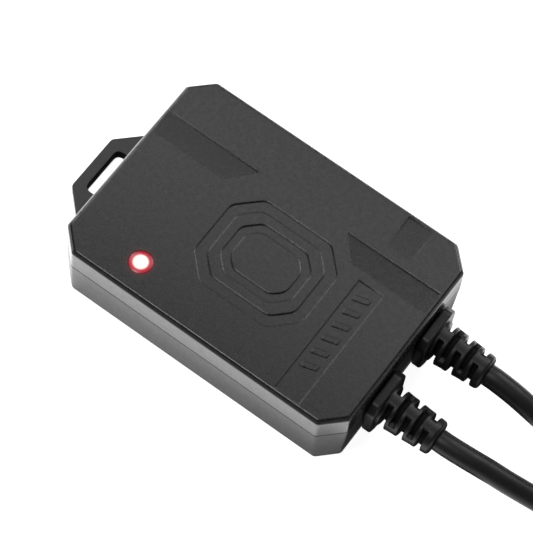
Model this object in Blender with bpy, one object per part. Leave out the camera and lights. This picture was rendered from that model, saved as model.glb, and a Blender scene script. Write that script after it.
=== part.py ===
"""Small sealed lighting controller: a two-part plastic case with a slotted ear, a circuit board
inside, and two jacketed leads that end in round plugs with coupling nuts.

Frame: origin at the centre of the case's bottom face, +X toward the leads, +Y across, +Z up.
All sizes below are in millimetres; solid() turns them into Blender's metres.
"""
import math

import bmesh
import bpy
from mathutils import Matrix, Vector

MM = 0.001

# Case outline: a rectangle with 45 degree corners, widest at the parting line.
CASE_LENGTH = 90.0
CASE_WIDTH = 63.5
CASE_HEIGHT = 24.5
CORNER = 6.0
PARTING = 16.0
PARTING_GAP = 0.3
TOP_BEVEL = 0.8
TOP_BEVEL_HEIGHT = 1.2
COVER_FLARE = 0.18
BASE_TAPER_X = 0.27
BASE_TAPER_Y = 0.75
BASE_CORNER = 5.4
FOOT_BEVEL = 0.3
WALL = 3.4
FLOOR = 2.4
LID = 2.4

# Seal between the two shells, in a groove in the tray's rim.
SEAL_INSET = 1.0
SEAL_WIDTH = 1.2
SEAL_LOW = PARTING - 1.3
SEAL_HIGH = PARTING - 0.1
GROOVE_FLOOR = PARTING - 1.6
GROOVE_CLEARANCE = 0.2
NOTCHED_SEAL_TOP = PARTING - 0.55

# Ear: a tab with 45 degree sides and one long slot.
EAR_TIP = -56.8
EAR_LOW = 1.0
EAR_HIGH = 4.8
EAR_HALF = 8.8
SLOT_X = (-53.6, -48.4)
SLOT_HALF = 7.35
SLOT_CORNER = 1.8

# Corner bosses, which take the four cover screws from below.
BOSS_X = 35.5
BOSS_Y = 22.5
BOSS_RADIUS = 4.0
HEAD_POCKET_RADIUS = 3.1
HEAD_POCKET_DEPTH = 4.2
SCREW_HOLE_RADIUS = 1.7
SCREW_HEAD_LOW = 1.4
SCREW_HEAD_RADIUS = 2.7
SCREW_HEAD_HEIGHT = 2.4
SCREW_SHANK_RADIUS = 1.4
SCREW_TOP = 21.6
SCREW_PILOT_RADIUS = 1.6

# Circuit board.
BOARD_LOW = 5.2
BOARD_TOP = 6.8
BOARD_X = (-40.8, 38.6)
BOARD_Y = 27.6
BOARD_NOTCH_X = 30.4
BOARD_NOTCH_Y = 17.2
STANDOFFS = ((-37.0, 13.0), (-37.0, -13.0), (27.0, 24.2), (27.0, -24.2))
STANDOFF_RADIUS = 2.6
STANDOFF_HOLE_RADIUS = 1.2
BOARD_HOLE_RADIUS = 1.3

# Shallow panels on the lid: outline corners and how deep the surface lies at each.
PANEL_SHALLOW = 0.12
PANEL_DEEP = 0.6
WING_LEFT = ((-43.6, 9.1), (-20.7, 9.2), (-14.3, 16.6), (-43.6, 16.6))
WING_RIGHT = ((20.0, 9.8), (43.4, 9.8), (43.4, 16.8), (14.2, 16.6))
SMALL_PANEL = ((24.6, 19.5), (32.0, 19.5), (32.0, 30.1), (24.6, 30.1))
LONG_PANEL = ((24.5, -30.1), (32.0, -30.1), (32.0, 7.1), (24.5, 7.1))
LONG_PANEL_SHALLOW = 0.3

# Slanted bars in the long panel.
RIB_COUNT = 6
RIB_PITCH = 4.6
RIB_FIRST_Y = -21.5
RIB_X = (26.0, 30.5)
RIB_WIDTH = 1.8
RIB_RISE = 1.2

# Emblem: two nested octagon bands, each given as half length, half width and band width.
EMBLEM_X = 2.5
EMBLEM_Y = -3.6
EMBLEM_DEPTH = 0.45
EMBLEM_CORNER = 6.6
EMBLEM_BANDS = ((17.0, 14.6, 2.9), (11.2, 8.8, 2.2))

# Status lamp.
LAMP_X = -23.2
LAMP_Y = -23.2
LAMP_RADIUS = 3.1

# Lead exits.
LEAD_Y = 11.4
LEAD_Z = 11.0
LEAD_RADIUS = 3.1
LEAD_SLOT_HALF = 5.5
LEAD_SLOT_LOW = 5.7
BOOT_END = 63.9
GAP = 0.3

# Boot: ring and slot edges along X. Slots with side webs and slots with upper and lower webs take turns.
BOOT_SLOTS = ((49.3, 50.5, 90.0), (52.0, 53.2, 0.0), (54.8, 56.0, 90.0), (57.5, 58.7, 0.0),
              (60.2, 61.4, 90.0))
BOOT_FIRST_RADIUS = 6.1
BOOT_LAST_RADIUS = 4.95
BOOT_CORE_RADIUS = 3.7
WEB_HALF_ANGLE = 21.0
FLANGE_FACE = 48.3

# Routes of the two leads, from the boot to the plug.
POWER_ROUTE = (
    (64.3, 11.4, 11.0), (67.3, 11.4, 10.93), (73.0, 11.4, 9.9), (78.5, 11.4, 8.1), (84.0, 11.4, 6.1),
    (90.0, 11.4, 4.4), (97.0, 11.4, 3.4), (106.0, 11.65, 3.2), (112.73, 12.54, 3.2), (119.0, 15.13, 3.2),
    (124.38, 19.27, 3.2), (128.52, 24.65, 3.2), (131.11, 30.92, 3.2), (132.0, 37.65, 3.2),
    (131.11, 44.38, 3.2), (128.52, 50.65, 3.3), (124.38, 56.03, 3.7), (119.0, 60.17, 4.4),
    (112.73, 62.76, 5.3), (106.0, 63.65, 6.2), (98.5, 63.65, 6.8), (92.3, 63.65, 7.0))
OUTPUT_ROUTE = (
    (64.3, -11.4, 11.0), (67.3, -11.38, 10.96), (73.0, -10.8, 10.3), (79.0, -9.8, 8.9), (85.0, -8.8, 7.2),
    (91.5, -7.5, 5.3), (98.0, -6.25, 3.9), (104.0, -5.16, 3.3), (114.45, -1.87, 3.2), (123.7, 4.03, 3.2),
    (131.1, 12.11, 3.2), (136.17, 21.84, 3.2), (138.54, 32.54, 3.2), (138.06, 43.49, 3.2),
    (134.76, 53.95, 3.3), (128.87, 63.2, 3.7), (120.79, 70.6, 4.5), (111.06, 75.67, 5.6),
    (101.5, 77.9, 6.6), (96.5, 78.2, 6.9), (92.3, 78.2, 7.0))

# Conductors: each lead's colours in order along Y, where they are soldered, and their pitch there.
WIRE_RADIUS = 0.55
WIRE_PITCH = 1.5
CONDUCTORS = (("power", LEAD_Y, 32.6, 2.6, ("black", "red")),
              ("output", -LEAD_Y, 22.6, 3.5, ("red", "green", "blue", "white", "black")))

# Plugs: distances along the plug from its cable end.
PLUG_REAR_X = 92.0
PLUG_Z = 7.0
POWER_PLUG_Y = 63.65
OUTPUT_PLUG_Y = 78.2
NUT_CENTRE = 28.0
NUT_FLUTES = 24
NUT_FLUTE_DEPTH = 0.45


def clear_scene():
    for item in list(bpy.data.objects):
        bpy.data.objects.remove(item, do_unlink=True)


def finish(name, rgb, roughness, metallic=0.0):
    """A Principled BSDF material."""
    material = bpy.data.materials.new(name)
    material.use_nodes = True
    shader = material.node_tree.nodes["Principled BSDF"]
    shader.inputs["Base Color"].default_value = (*rgb, 1.0)
    shader.inputs["Roughness"].default_value = roughness
    shader.inputs["Metallic"].default_value = metallic
    material.diffuse_color = (*rgb, 1.0)
    return material


def octagon(half_x, half_y, corner):
    """A rectangle with cut corners, anticlockwise."""
    x, y, c = half_x, half_y, corner
    return [(x, c - y), (x, y - c), (x - c, y), (c - x, y),
            (-x, y - c), (-x, c - y), (c - x, -y), (x - c, -y)]


def case_outline(inset_x, inset_y=None, corner=CORNER):
    """The case outline moved inwards; a negative inset moves it out."""
    inset_y = inset_x if inset_y is None else inset_y
    corner -= (2.0 - math.sqrt(2.0)) * (inset_x + inset_y) / 2.0
    return octagon(CASE_LENGTH / 2.0 - inset_x, CASE_WIDTH / 2.0 - inset_y, corner)


def rectangle(x0, x1, y0, y1):
    return [(x0, y0), (x1, y0), (x1, y1), (x0, y1)]


def circle(x, y, radius, steps=24):
    turns = [2.0 * math.pi * k / steps for k in range(steps)]
    return [(x + radius * math.cos(a), y + radius * math.sin(a)) for a in turns]


def rounded(x0, x1, y0, y1, radius, steps=5):
    """A rectangle with round corners, anticlockwise."""
    points = []
    centres = ((x1 - radius, y0 + radius, -90), (x1 - radius, y1 - radius, 0),
               (x0 + radius, y1 - radius, 90), (x0 + radius, y0 + radius, 180))
    for cx, cy, start in centres:
        for k in range(steps + 1):
            angle = math.radians(start + 90.0 * k / steps)
            points.append((cx + radius * math.cos(angle), cy + radius * math.sin(angle)))
    return points


def add_rings(bm, rings, capped=True, looped=False):
    """Skin a row of rings with the same number of points; each ring is anticlockwise seen from the last."""
    rows = []
    for ring in rings:
        rows.append([bm.verts.new(Vector(p) * MM) for p in ring])
    pairs = list(zip(rows, rows[1:]))
    if looped:
        pairs.append((rows[-1], rows[0]))
    for low, high in pairs:
        for i in range(len(low)):
            j = (i + 1) % len(low)
            bm.faces.new((low[i], low[j], high[j], high[i]))
    if capped and not looped:
        bm.faces.new(list(reversed(rows[0])))
        bm.faces.new(rows[-1])


def add_prism(bm, outline, z0, z1):
    add_rings(bm, [[(x, y, z0) for x, y in outline], [(x, y, z1) for x, y in outline]])


def add_band(bm, outer, inner, z0, z1):
    """A closed band between two outlines with the same number of points."""
    rows = [[(x, y, z0) for x, y in outer], [(x, y, z1) for x, y in outer],
            [(x, y, z1) for x, y in inner], [(x, y, z0) for x, y in inner]]
    add_rings(bm, rows, looped=True)


def add_across(bm, sections):
    """Skin sections given as (x, outline), the outline in Y and Z, in order of growing x."""
    add_rings(bm, [[(x, y, z) for y, z in outline] for x, outline in sections])


def add_turned(bm, profile, place, steps=32, flutes=0, flute_depth=0.0, looped=False):
    """Turn (along, radius) points about place's X axis. A third value of True gives a point the flutes."""
    rows = []
    for point in profile:
        along, radius = point[0], point[1]
        fluted = len(point) > 2 and flutes
        row = []
        for k in range(steps):
            angle = 2.0 * math.pi * k / steps
            r = radius
            if fluted:
                r -= flute_depth * (0.5 - 0.5 * math.cos(flutes * angle))
            row.append(tuple(place @ Vector((along, r * math.cos(angle), r * math.sin(angle)))))
        rows.append(row)
    add_rings(bm, rows, looped=looped)


def solid(name, build, material, smooth=0.0):
    """One object from a function that fills a bmesh. smooth is the sharp-edge angle in degrees."""
    bm = bmesh.new()
    build(bm)
    mesh = bpy.data.meshes.new(name)
    bm.to_mesh(mesh)
    bm.free()
    item = bpy.data.objects.new(name, mesh)
    bpy.context.scene.collection.objects.link(item)
    if material is not None:
        mesh.materials.append(material)
    if smooth:
        mesh.shade_smooth()
        mesh.set_sharp_from_angle(angle=math.radians(smooth))
    return item


def shape_with(item, operation, name, build):
    """Cut or add a helper shape with an exact Boolean."""
    helper = solid(name, build, None)
    helper.hide_render = True
    helper.display_type = "WIRE"
    modifier = item.modifiers.new(name, "BOOLEAN")
    modifier.operation = operation
    modifier.solver = "EXACT"
    modifier.object = helper


def corner_bosses():
    return [(sx * BOSS_X, sy * BOSS_Y) for sx, sy in ((-1, 1), (-1, -1), (1, 1), (1, -1))]


def along_x(x, y, z, forward=1.0):
    """A frame whose X axis is the world's, or points back along it, with its origin at a point."""
    turn = Matrix.Identity(4) if forward > 0 else Matrix.Rotation(math.pi, 4, "Z")
    return Matrix.Translation((x, y, z)) @ turn


# ---------------------------------------------------------------- case

def lower_housing(material):
    """Tray with the ear, the corner bosses, the board standoffs, the seal groove and the lead slots."""
    flare = -COVER_FLARE

    rim = PARTING - PARTING_GAP / 2.0

    def tray(bm):
        inset_x, inset_y = BASE_TAPER_X + FOOT_BEVEL, BASE_TAPER_Y + FOOT_BEVEL
        foot = [(x, y, 0.0) for x, y in case_outline(inset_x, inset_y, BASE_CORNER)]
        heel = [(x, y, FOOT_BEVEL) for x, y in case_outline(BASE_TAPER_X, BASE_TAPER_Y, BASE_CORNER)]
        edge = [(x, y, rim) for x, y in case_outline(flare)]
        add_rings(bm, [foot, heel, edge])

    def pocket(bm):
        add_prism(bm, case_outline(WALL + flare), FLOOR, PARTING + 2.0)

    def additions(bm):
        for x, y in corner_bosses():
            add_prism(bm, circle(x, y, BOSS_RADIUS), FLOOR - 1.0, rim)
        for x, y in STANDOFFS:
            add_prism(bm, circle(x, y, STANDOFF_RADIUS, 16), FLOOR - 1.0, BOARD_LOW - GAP)

    def ear(bm):
        root = -CASE_LENGTH / 2.0 + 1.0
        spread = EAR_HALF + (root - EAR_TIP)
        outline = [(EAR_TIP, EAR_HALF), (EAR_TIP, -EAR_HALF), (root, -spread), (root, spread)]
        add_prism(bm, outline, EAR_LOW, EAR_HIGH)

    def openings(bm):
        slot = rounded(*SLOT_X, -SLOT_HALF, SLOT_HALF, SLOT_CORNER)
        add_prism(bm, slot, EAR_LOW - 1.0, EAR_HIGH + 1.0)
        end = CASE_LENGTH / 2.0
        for y in (-LEAD_Y, LEAD_Y):
            gap = rectangle(end - 4.4, end + 1.0, y - LEAD_SLOT_HALF, y + LEAD_SLOT_HALF)
            add_prism(bm, gap, LEAD_SLOT_LOW, PARTING + 2.0)
        for x, y in corner_bosses():
            add_prism(bm, circle(x, y, HEAD_POCKET_RADIUS), -1.0, HEAD_POCKET_DEPTH)
        for x, y in STANDOFFS:
            add_prism(bm, circle(x, y, STANDOFF_HOLE_RADIUS, 12), FLOOR + 0.6, BOARD_LOW + 1.0)

    def screw_holes(bm):
        for x, y in corner_bosses():
            add_prism(bm, circle(x, y, SCREW_HOLE_RADIUS, 16), HEAD_POCKET_DEPTH - 0.5, PARTING + 2.0)

    def groove(bm):
        outer = case_outline(flare + SEAL_INSET - GROOVE_CLEARANCE)
        inner = case_outline(flare + SEAL_INSET + SEAL_WIDTH + GROOVE_CLEARANCE)
        add_band(bm, outer, inner, GROOVE_FLOOR, PARTING + 1.0)

    item = solid("lower_housing", tray, material)
    shape_with(item, "DIFFERENCE", "tray_pocket", pocket)
    shape_with(item, "UNION", "tray_bosses", additions)
    shape_with(item, "UNION", "tray_ear", ear)
    shape_with(item, "DIFFERENCE", "tray_groove", groove)
    shape_with(item, "DIFFERENCE", "tray_openings", openings)
    shape_with(item, "DIFFERENCE", "tray_screw_holes", screw_holes)
    return item


def perimeter_gasket(material):
    """Rubber seal in the tray's groove, with a thinner bridge over each lead slot."""
    flare = -COVER_FLARE

    def ring(bm):
        outer = case_outline(flare + SEAL_INSET)
        inner = case_outline(flare + SEAL_INSET + SEAL_WIDTH)
        add_band(bm, outer, inner, SEAL_LOW, SEAL_HIGH)

    def breaks(bm):
        half = LEAD_SLOT_HALF + 0.1
        for y in (-LEAD_Y, LEAD_Y):
            gap = rectangle(CASE_LENGTH / 2.0 - 6.0, CASE_LENGTH / 2.0 + 1.0, y - half, y + half)
            add_prism(bm, gap, SEAL_LOW - 1.0, NOTCHED_SEAL_TOP)

    item = solid("perimeter_gasket", ring, material)
    shape_with(item, "DIFFERENCE", "gasket_lead_notches", breaks)
    return item


def top_cover(material):
    """Lid with its recessed panels, nested octagon bands, lamp hole and screw bosses."""
    flare = -COVER_FLARE
    rim = PARTING + PARTING_GAP / 2.0
    inside = CASE_HEIGHT - LID

    def shell(bm):
        edge = [(x, y, rim) for x, y in case_outline(flare)]
        shoulder = [(x, y, CASE_HEIGHT - TOP_BEVEL_HEIGHT) for x, y in case_outline(0.0)]
        top = [(x, y, CASE_HEIGHT) for x, y in case_outline(TOP_BEVEL)]
        add_rings(bm, [edge, shoulder, top])

    def pocket(bm):
        add_prism(bm, case_outline(WALL + flare), PARTING - 1.0, inside)

    def bosses(bm):
        for x, y in corner_bosses():
            add_prism(bm, circle(x, y, BOSS_RADIUS), rim, inside + 1.0)

    def holes(bm):
        add_prism(bm, circle(LAMP_X, LAMP_Y, LAMP_RADIUS + GAP), inside - 1.0, CASE_HEIGHT + 1.0)
        for x, y in corner_bosses():
            add_prism(bm, circle(x, y, SCREW_PILOT_RADIUS, 16), PARTING - 1.0, SCREW_TOP)

    def sloped(bm, corners, depths):
        low = [(x, y, CASE_HEIGHT - d) for (x, y), d in zip(corners, depths)]
        high = [(x, y, CASE_HEIGHT + 1.0) for x, y in corners]
        add_rings(bm, [low, high])

    def panels(bm):
        near_shallow = (PANEL_SHALLOW, PANEL_SHALLOW, PANEL_DEEP, PANEL_DEEP)
        sloped(bm, WING_LEFT, near_shallow)
        sloped(bm, WING_RIGHT, near_shallow)
        sloped(bm, SMALL_PANEL, near_shallow)
        sloped(bm, LONG_PANEL, (PANEL_DEEP, LONG_PANEL_SHALLOW, LONG_PANEL_SHALLOW, PANEL_DEEP))

    def emblem(bm):
        largest = EMBLEM_BANDS[0][0]
        for half_x, half_y, band in EMBLEM_BANDS:
            outlines = []
            for inset in (0.0, band):
                corner = EMBLEM_CORNER * half_x / largest - (2.0 - math.sqrt(2.0)) * inset
                points = octagon(half_x - inset, half_y - inset, corner)
                outlines.append([(x + EMBLEM_X, y + EMBLEM_Y) for x, y in points])
            add_band(bm, *outlines, CASE_HEIGHT - EMBLEM_DEPTH, CASE_HEIGHT + 1.0)

    def ribs(bm):
        for k in range(RIB_COUNT):
            y = RIB_FIRST_Y + k * RIB_PITCH
            x0, x1 = RIB_X
            bar = [(x0, y), (x1, y + RIB_RISE), (x1, y + RIB_RISE + RIB_WIDTH), (x0, y + RIB_WIDTH)]
            add_prism(bm, bar, CASE_HEIGHT - 1.2, CASE_HEIGHT - 0.1)

    item = solid("top_cover", shell, material)
    shape_with(item, "DIFFERENCE", "lid_pocket", pocket)
    shape_with(item, "UNION", "lid_bosses", bosses)
    shape_with(item, "DIFFERENCE", "lid_holes", holes)
    shape_with(item, "DIFFERENCE", "lid_panels", panels)
    shape_with(item, "DIFFERENCE", "lid_emblem", emblem)
    shape_with(item, "UNION", "lid_ribs", ribs)
    return item


def screw(name, x, y, head_low, head_radius, head_height, shank_top, shank_radius, drive, material):
    """A pan-head screw pointing up (positive head height) or down, with a crosshead recess."""
    direction = 1.0 if head_height > 0 else -1.0
    place = Matrix.Translation((x, y, head_low)) @ Matrix.Rotation(-direction * math.pi / 2.0, 4, "Y")
    height = abs(head_height)
    reach = abs(shank_top - head_low)
    profile = [(0.0, head_radius * 0.72), (height * 0.4, head_radius), (height, head_radius),
               (height, shank_radius), (reach - shank_radius, shank_radius), (reach, shank_radius * 0.35)]
    item = solid(name, lambda bm: add_turned(bm, profile, place, 16), material, 35.0)

    def recess(bm):
        half = drive / 2.0
        base = head_low - direction * 0.5
        tip = head_low + direction * height * 0.6
        low, high = min(base, tip), max(base, tip)
        arm = head_radius * 0.6
        cross = [(half, -arm), (half, -half), (arm, -half), (arm, half), (half, half), (half, arm),
                 (-half, arm), (-half, half), (-arm, half), (-arm, -half), (-half, -half), (-half, -arm)]
        add_prism(bm, [(px + x, py + y) for px, py in cross], low, high)

    shape_with(item, "DIFFERENCE", name + "_recess", recess)
    return item


# ---------------------------------------------------------------- electronics

def block(name, x, y, z, size_x, size_y, size_z, material, chamfer=0.0):
    """A block standing at height z, with its top edges cut back by chamfer."""
    hx, hy = size_x / 2.0, size_y / 2.0

    def build(bm):
        rings = [[(x + a, y + b, z) for a, b in rectangle(-hx, hx, -hy, hy)],
                 [(x + a, y + b, z + size_z - chamfer) for a, b in rectangle(-hx, hx, -hy, hy)]]
        if chamfer:
            cx, cy = hx - chamfer, hy - chamfer
            rings.append([(x + a, y + b, z + size_z) for a, b in rectangle(-cx, cx, -cy, cy)])
        add_rings(bm, rings)

    return solid(name, build, material)


def leaded_chip(name, x, y, body, leads_per_side, material):
    """A square chip package whose gull-wing leads stand out on two sides."""
    half = body / 2.0
    base = BOARD_TOP + GAP

    def package(bm):
        rings = []
        for edge, z in ((half, base), (half - 0.2, base + 1.5)):
            rings.append([(x + a, y + b, z) for a, b in rectangle(-edge, edge, -edge, edge)])
        add_rings(bm, rings)

    def leads(bm):
        pitch = (body - 1.2) / (leads_per_side - 1)
        for k in range(leads_per_side):
            s = -half + 0.6 + k * pitch
            row = rectangle(x - half - 1.0, x + half + 1.0, y + s - 0.2, y + s + 0.2)
            add_prism(bm, row, base + 0.1, base + 0.5)

    item = solid(name, package, material)
    shape_with(item, "UNION", name + "_leads", leads)
    return item


def power_transistor(name, x, y, material):
    """A surface-mount power package: the body, its tab behind and two legs in front."""
    base = BOARD_TOP + GAP
    item = block(name, x, y, base, 6.1, 6.6, 2.3, material, 0.3)

    def metal(bm):
        add_prism(bm, rectangle(x - 4.6, x + 0.5, y - 2.6, y + 2.6), base, base + 0.9)
        for side in (-1, 1):
            leg_y = y + side * 2.3
            add_prism(bm, rectangle(x + 2.0, x + 5.0, leg_y - 0.4, leg_y + 0.4), base, base + 0.8)

    shape_with(item, "UNION", name + "_tab", metal)
    return item


def circuit_board(material):
    notch_x, notch_y = BOARD_NOTCH_X, BOARD_NOTCH_Y
    x0, x1 = BOARD_X
    outline = [(x0, -notch_y), (-notch_x, -notch_y), (-notch_x, -BOARD_Y), (notch_x, -BOARD_Y),
               (notch_x, -notch_y), (x1, -notch_y), (x1, notch_y), (notch_x, notch_y),
               (notch_x, BOARD_Y), (-notch_x, BOARD_Y), (-notch_x, notch_y), (x0, notch_y)]
    item = solid("circuit_board", lambda bm: add_prism(bm, outline, BOARD_LOW, BOARD_TOP), material)

    def holes(bm):
        for x, y in STANDOFFS:
            add_prism(bm, circle(x, y, BOARD_HOLE_RADIUS, 12), BOARD_LOW - 1.0, BOARD_TOP + 1.0)

    shape_with(item, "DIFFERENCE", "board_holes", holes)
    return item


def light_pipe(material):
    """Clear red rod from the board's diode to the lid, with a domed head and a collar under the lid."""
    inside = CASE_HEIGHT - LID
    top = CASE_HEIGHT
    r = LAMP_RADIUS
    profile = [(8.6, 2.0), (inside - 1.1, 2.0), (inside - 1.1, 3.9), (inside - 0.3, 3.9), (inside - 0.3, r),
               (top - 0.3, r), (top + 0.02, r * 0.86), (top + 0.22, r * 0.5), (top + 0.28, r * 0.12)]
    place = Matrix.Translation((LAMP_X, LAMP_Y, 0.0)) @ Matrix.Rotation(-math.pi / 2.0, 4, "Y")
    return solid("light_pipe", lambda bm: add_turned(bm, profile, place, 32), material, 40.0)


def electronics(m):
    base = BOARD_TOP + GAP
    circuit_board(m["board"])
    for k, (x, y) in enumerate(STANDOFFS):
        name = "board_screw_%d" % (k + 1)
        screw(name, x, y, base + 1.4, 1.9, -1.4, FLOOR + 1.0, 0.9, 0.5, m["steel"])
    light_pipe(m["lamp"])
    block("status_led", LAMP_X, LAMP_Y, base, 3.2, 2.8, 1.1, m["diode"], 0.2)
    block("radio_module_board", -31.2, 2.0, base, 16.0, 13.0, 0.9, m["module"])
    block("radio_shield_can", -28.2, 2.0, base + 0.9 + GAP, 9.4, 11.6, 2.0, m["tin"], 0.3)
    block("chip_antenna", -36.6, 2.0, base + 0.9 + GAP, 2.0, 7.0, 1.0, m["ceramic"], 0.1)
    leaded_chip("microcontroller", -12.0, -4.0, 8.0, 7, m["chip"])
    block("crystal", -12.0, -14.0, base, 11.0, 4.4, 3.4, m["tin"], 0.8)
    for k, colour in enumerate(("red", "green", "blue", "white")):
        power_transistor("%s_channel_transistor" % colour, 12.0, -19.5 + 8.4 * k, m["chip"])
    power_transistor("voltage_regulator", -3.0, 20.5, m["chip"])
    choke(m["ferrite"])
    input_capacitor(m["can"])
    block("surge_diode", 24.5, 14.2, base, 7.0, 5.8, 2.3, m["chip"], 0.3)
    block("input_fuse", 24.5, 5.4, base, 7.3, 4.4, 2.8, m["ceramic"], 0.2)


def choke(material):
    """Square power inductor with a round core on top."""
    x, y, base = -16.5, 17.5, BOARD_TOP + GAP
    item = block("choke", x, y, base, 12.0, 12.0, 4.6, material, 0.8)

    def core(bm):
        add_prism(bm, circle(x, y, 4.6, 24), base + 2.0, base + 6.0)

    shape_with(item, "UNION", "choke_core", core)
    return item


def input_capacitor(material):
    """Can capacitor on a square foot with two cut corners."""
    x, y, base = 14.0, 20.6, BOARD_TOP + GAP
    profile = [(0.9, 4.0), (2.2, 4.0), (2.6, 3.75), (3.0, 4.0), (10.2, 4.0), (10.6, 3.6)]
    place = Matrix.Translation((x, y, base)) @ Matrix.Rotation(-math.pi / 2.0, 4, "Y")
    item = solid("input_capacitor", lambda bm: add_turned(bm, profile, place, 24), material, 40.0)
    corners = [(-4.2, -4.2), (2.8, -4.2), (4.2, -2.8), (4.2, 2.8), (2.8, 4.2), (-4.2, 4.2)]

    def foot(bm):
        add_prism(bm, [(x + a, y + b) for a, b in corners], base, base + 1.3)

    shape_with(item, "UNION", "capacitor_foot", foot)
    return item


# ---------------------------------------------------------------- leads

def smooth_route(points, spacing):
    """Points at an even spacing along a Catmull-Rom curve through the route's own points."""
    route = [Vector(p) for p in points]
    route = [route[0] * 2 - route[1]] + route + [route[-1] * 2 - route[-2]]
    fine = []
    for a, b, c, d in zip(route, route[1:], route[2:], route[3:]):
        for k in range(16):
            t = k / 16.0
            fine.append(0.5 * ((2 * b) + (c - a) * t + (2 * a - 5 * b + 4 * c - d) * t * t
                               + (3 * b - a - 3 * c + d) * t ** 3))
    fine.append(route[-2])
    lengths = [0.0]
    for p, q in zip(fine, fine[1:]):
        lengths.append(lengths[-1] + (q - p).length)
    count = max(2, round(lengths[-1] / spacing))
    even = []
    at = 0
    for k in range(count + 1):
        wanted = lengths[-1] * k / count
        while at < len(fine) - 2 and lengths[at + 1] < wanted:
            at += 1
        share = (wanted - lengths[at]) / max(lengths[at + 1] - lengths[at], 1e-9)
        even.append(fine[at].lerp(fine[at + 1], min(share, 1.0)))
    return even


def tube(name, points, radius, spacing, material, resolution=2):
    """A round lead along a route, as a curve with filled caps."""
    curve = bpy.data.curves.new(name, "CURVE")
    curve.dimensions = "3D"
    curve.bevel_depth = radius * MM
    curve.bevel_resolution = resolution
    curve.use_fill_caps = True
    even = smooth_route(points, spacing)
    spline = curve.splines.new("POLY")
    spline.points.add(len(even) - 1)
    for target, p in zip(spline.points, even):
        target.co = (*(p * MM), 1.0)
    curve.materials.append(material)
    item = bpy.data.objects.new(name, curve)
    bpy.context.scene.collection.objects.link(item)
    return item


def lead_boot(name, y, material):
    """Moulded strain relief: inner plate, wall block, neck, outer plate and the slotted ribbed sleeve."""
    z = LEAD_Z

    def section(half_y, low, high, corner):
        mid, half_z = (low + high) / 2.0, (high - low) / 2.0
        return [(y + a, mid + b) for a, b in octagon(half_y, half_z, corner)]

    def plates(bm):
        inner = section(6.8, 4.6, 15.6, 1.5)
        wall_block = section(5.2, 6.0, 15.15, 0.2)
        neck = section(6.9, z - 7.0, z + 7.0, 2.3)
        plate = section(7.6, z - 7.7, z + 7.7, 2.5)
        add_across(bm, [(39.5, inner), (41.3, inner), (41.3, wall_block), (45.5, wall_block), (45.5, neck),
                        (46.4, neck), (46.4, plate), (FLANGE_FACE, plate)])

    def sleeve(bm):
        profile = [(FLANGE_FACE - 0.8, BOOT_FIRST_RADIUS), (52.0, BOOT_FIRST_RADIUS - 0.05),
                   (61.4, BOOT_LAST_RADIUS + 0.1), (63.3, BOOT_LAST_RADIUS),
                   (BOOT_END, BOOT_LAST_RADIUS - 0.6)]
        add_turned(bm, profile, along_x(0.0, y, z), 32)

    def slots(bm):
        for x0, x1, web in BOOT_SLOTS:
            for start in (web + WEB_HALF_ANGLE, web + 180.0 + WEB_HALF_ANGLE):
                span = 180.0 - 2.0 * WEB_HALF_ANGLE
                turns = [math.radians(start + span * k / 8.0) for k in range(9)]
                outline = [(y + 8.0 * math.cos(a), z + 8.0 * math.sin(a)) for a in turns]
                core = BOOT_CORE_RADIUS
                outline += [(y + core * math.cos(a), z + core * math.sin(a)) for a in reversed(turns)]
                add_across(bm, [(x0, outline), (x1, outline)])

    item = solid(name, plates, material, 35.0)
    shape_with(item, "UNION", name + "_sleeve", sleeve)
    shape_with(item, "DIFFERENCE", name + "_slots", slots)
    return item


def wires(m):
    """Conductors that fan out from each boot to their pads, in the same order along Y, so that none cross."""
    for lead, lead_y, pad_x, pad_pitch, colours in CONDUCTORS:
        middle = (len(colours) - 1) / 2.0
        for index, colour in enumerate(colours):
            start_y = lead_y + (index - middle) * WIRE_PITCH
            pad_y = lead_y + (index - middle) * pad_pitch
            points = [(39.2, start_y, LEAD_Z), (37.8, start_y, LEAD_Z)]
            for share, z in ((0.35, LEAD_Z + 0.9), (0.7, LEAD_Z)):
                x = 37.8 + (pad_x - 37.8) * share
                points.append((x, start_y + (pad_y - start_y) * share, z))
            points += [(pad_x + 0.5, pad_y, BOARD_TOP + 2.4), (pad_x, pad_y, BOARD_TOP + GAP + 0.1)]
            tube("%s_wire_%s" % (lead, colour), points, WIRE_RADIUS, 2.0, m["wire_" + colour])


# ---------------------------------------------------------------- plugs

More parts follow.
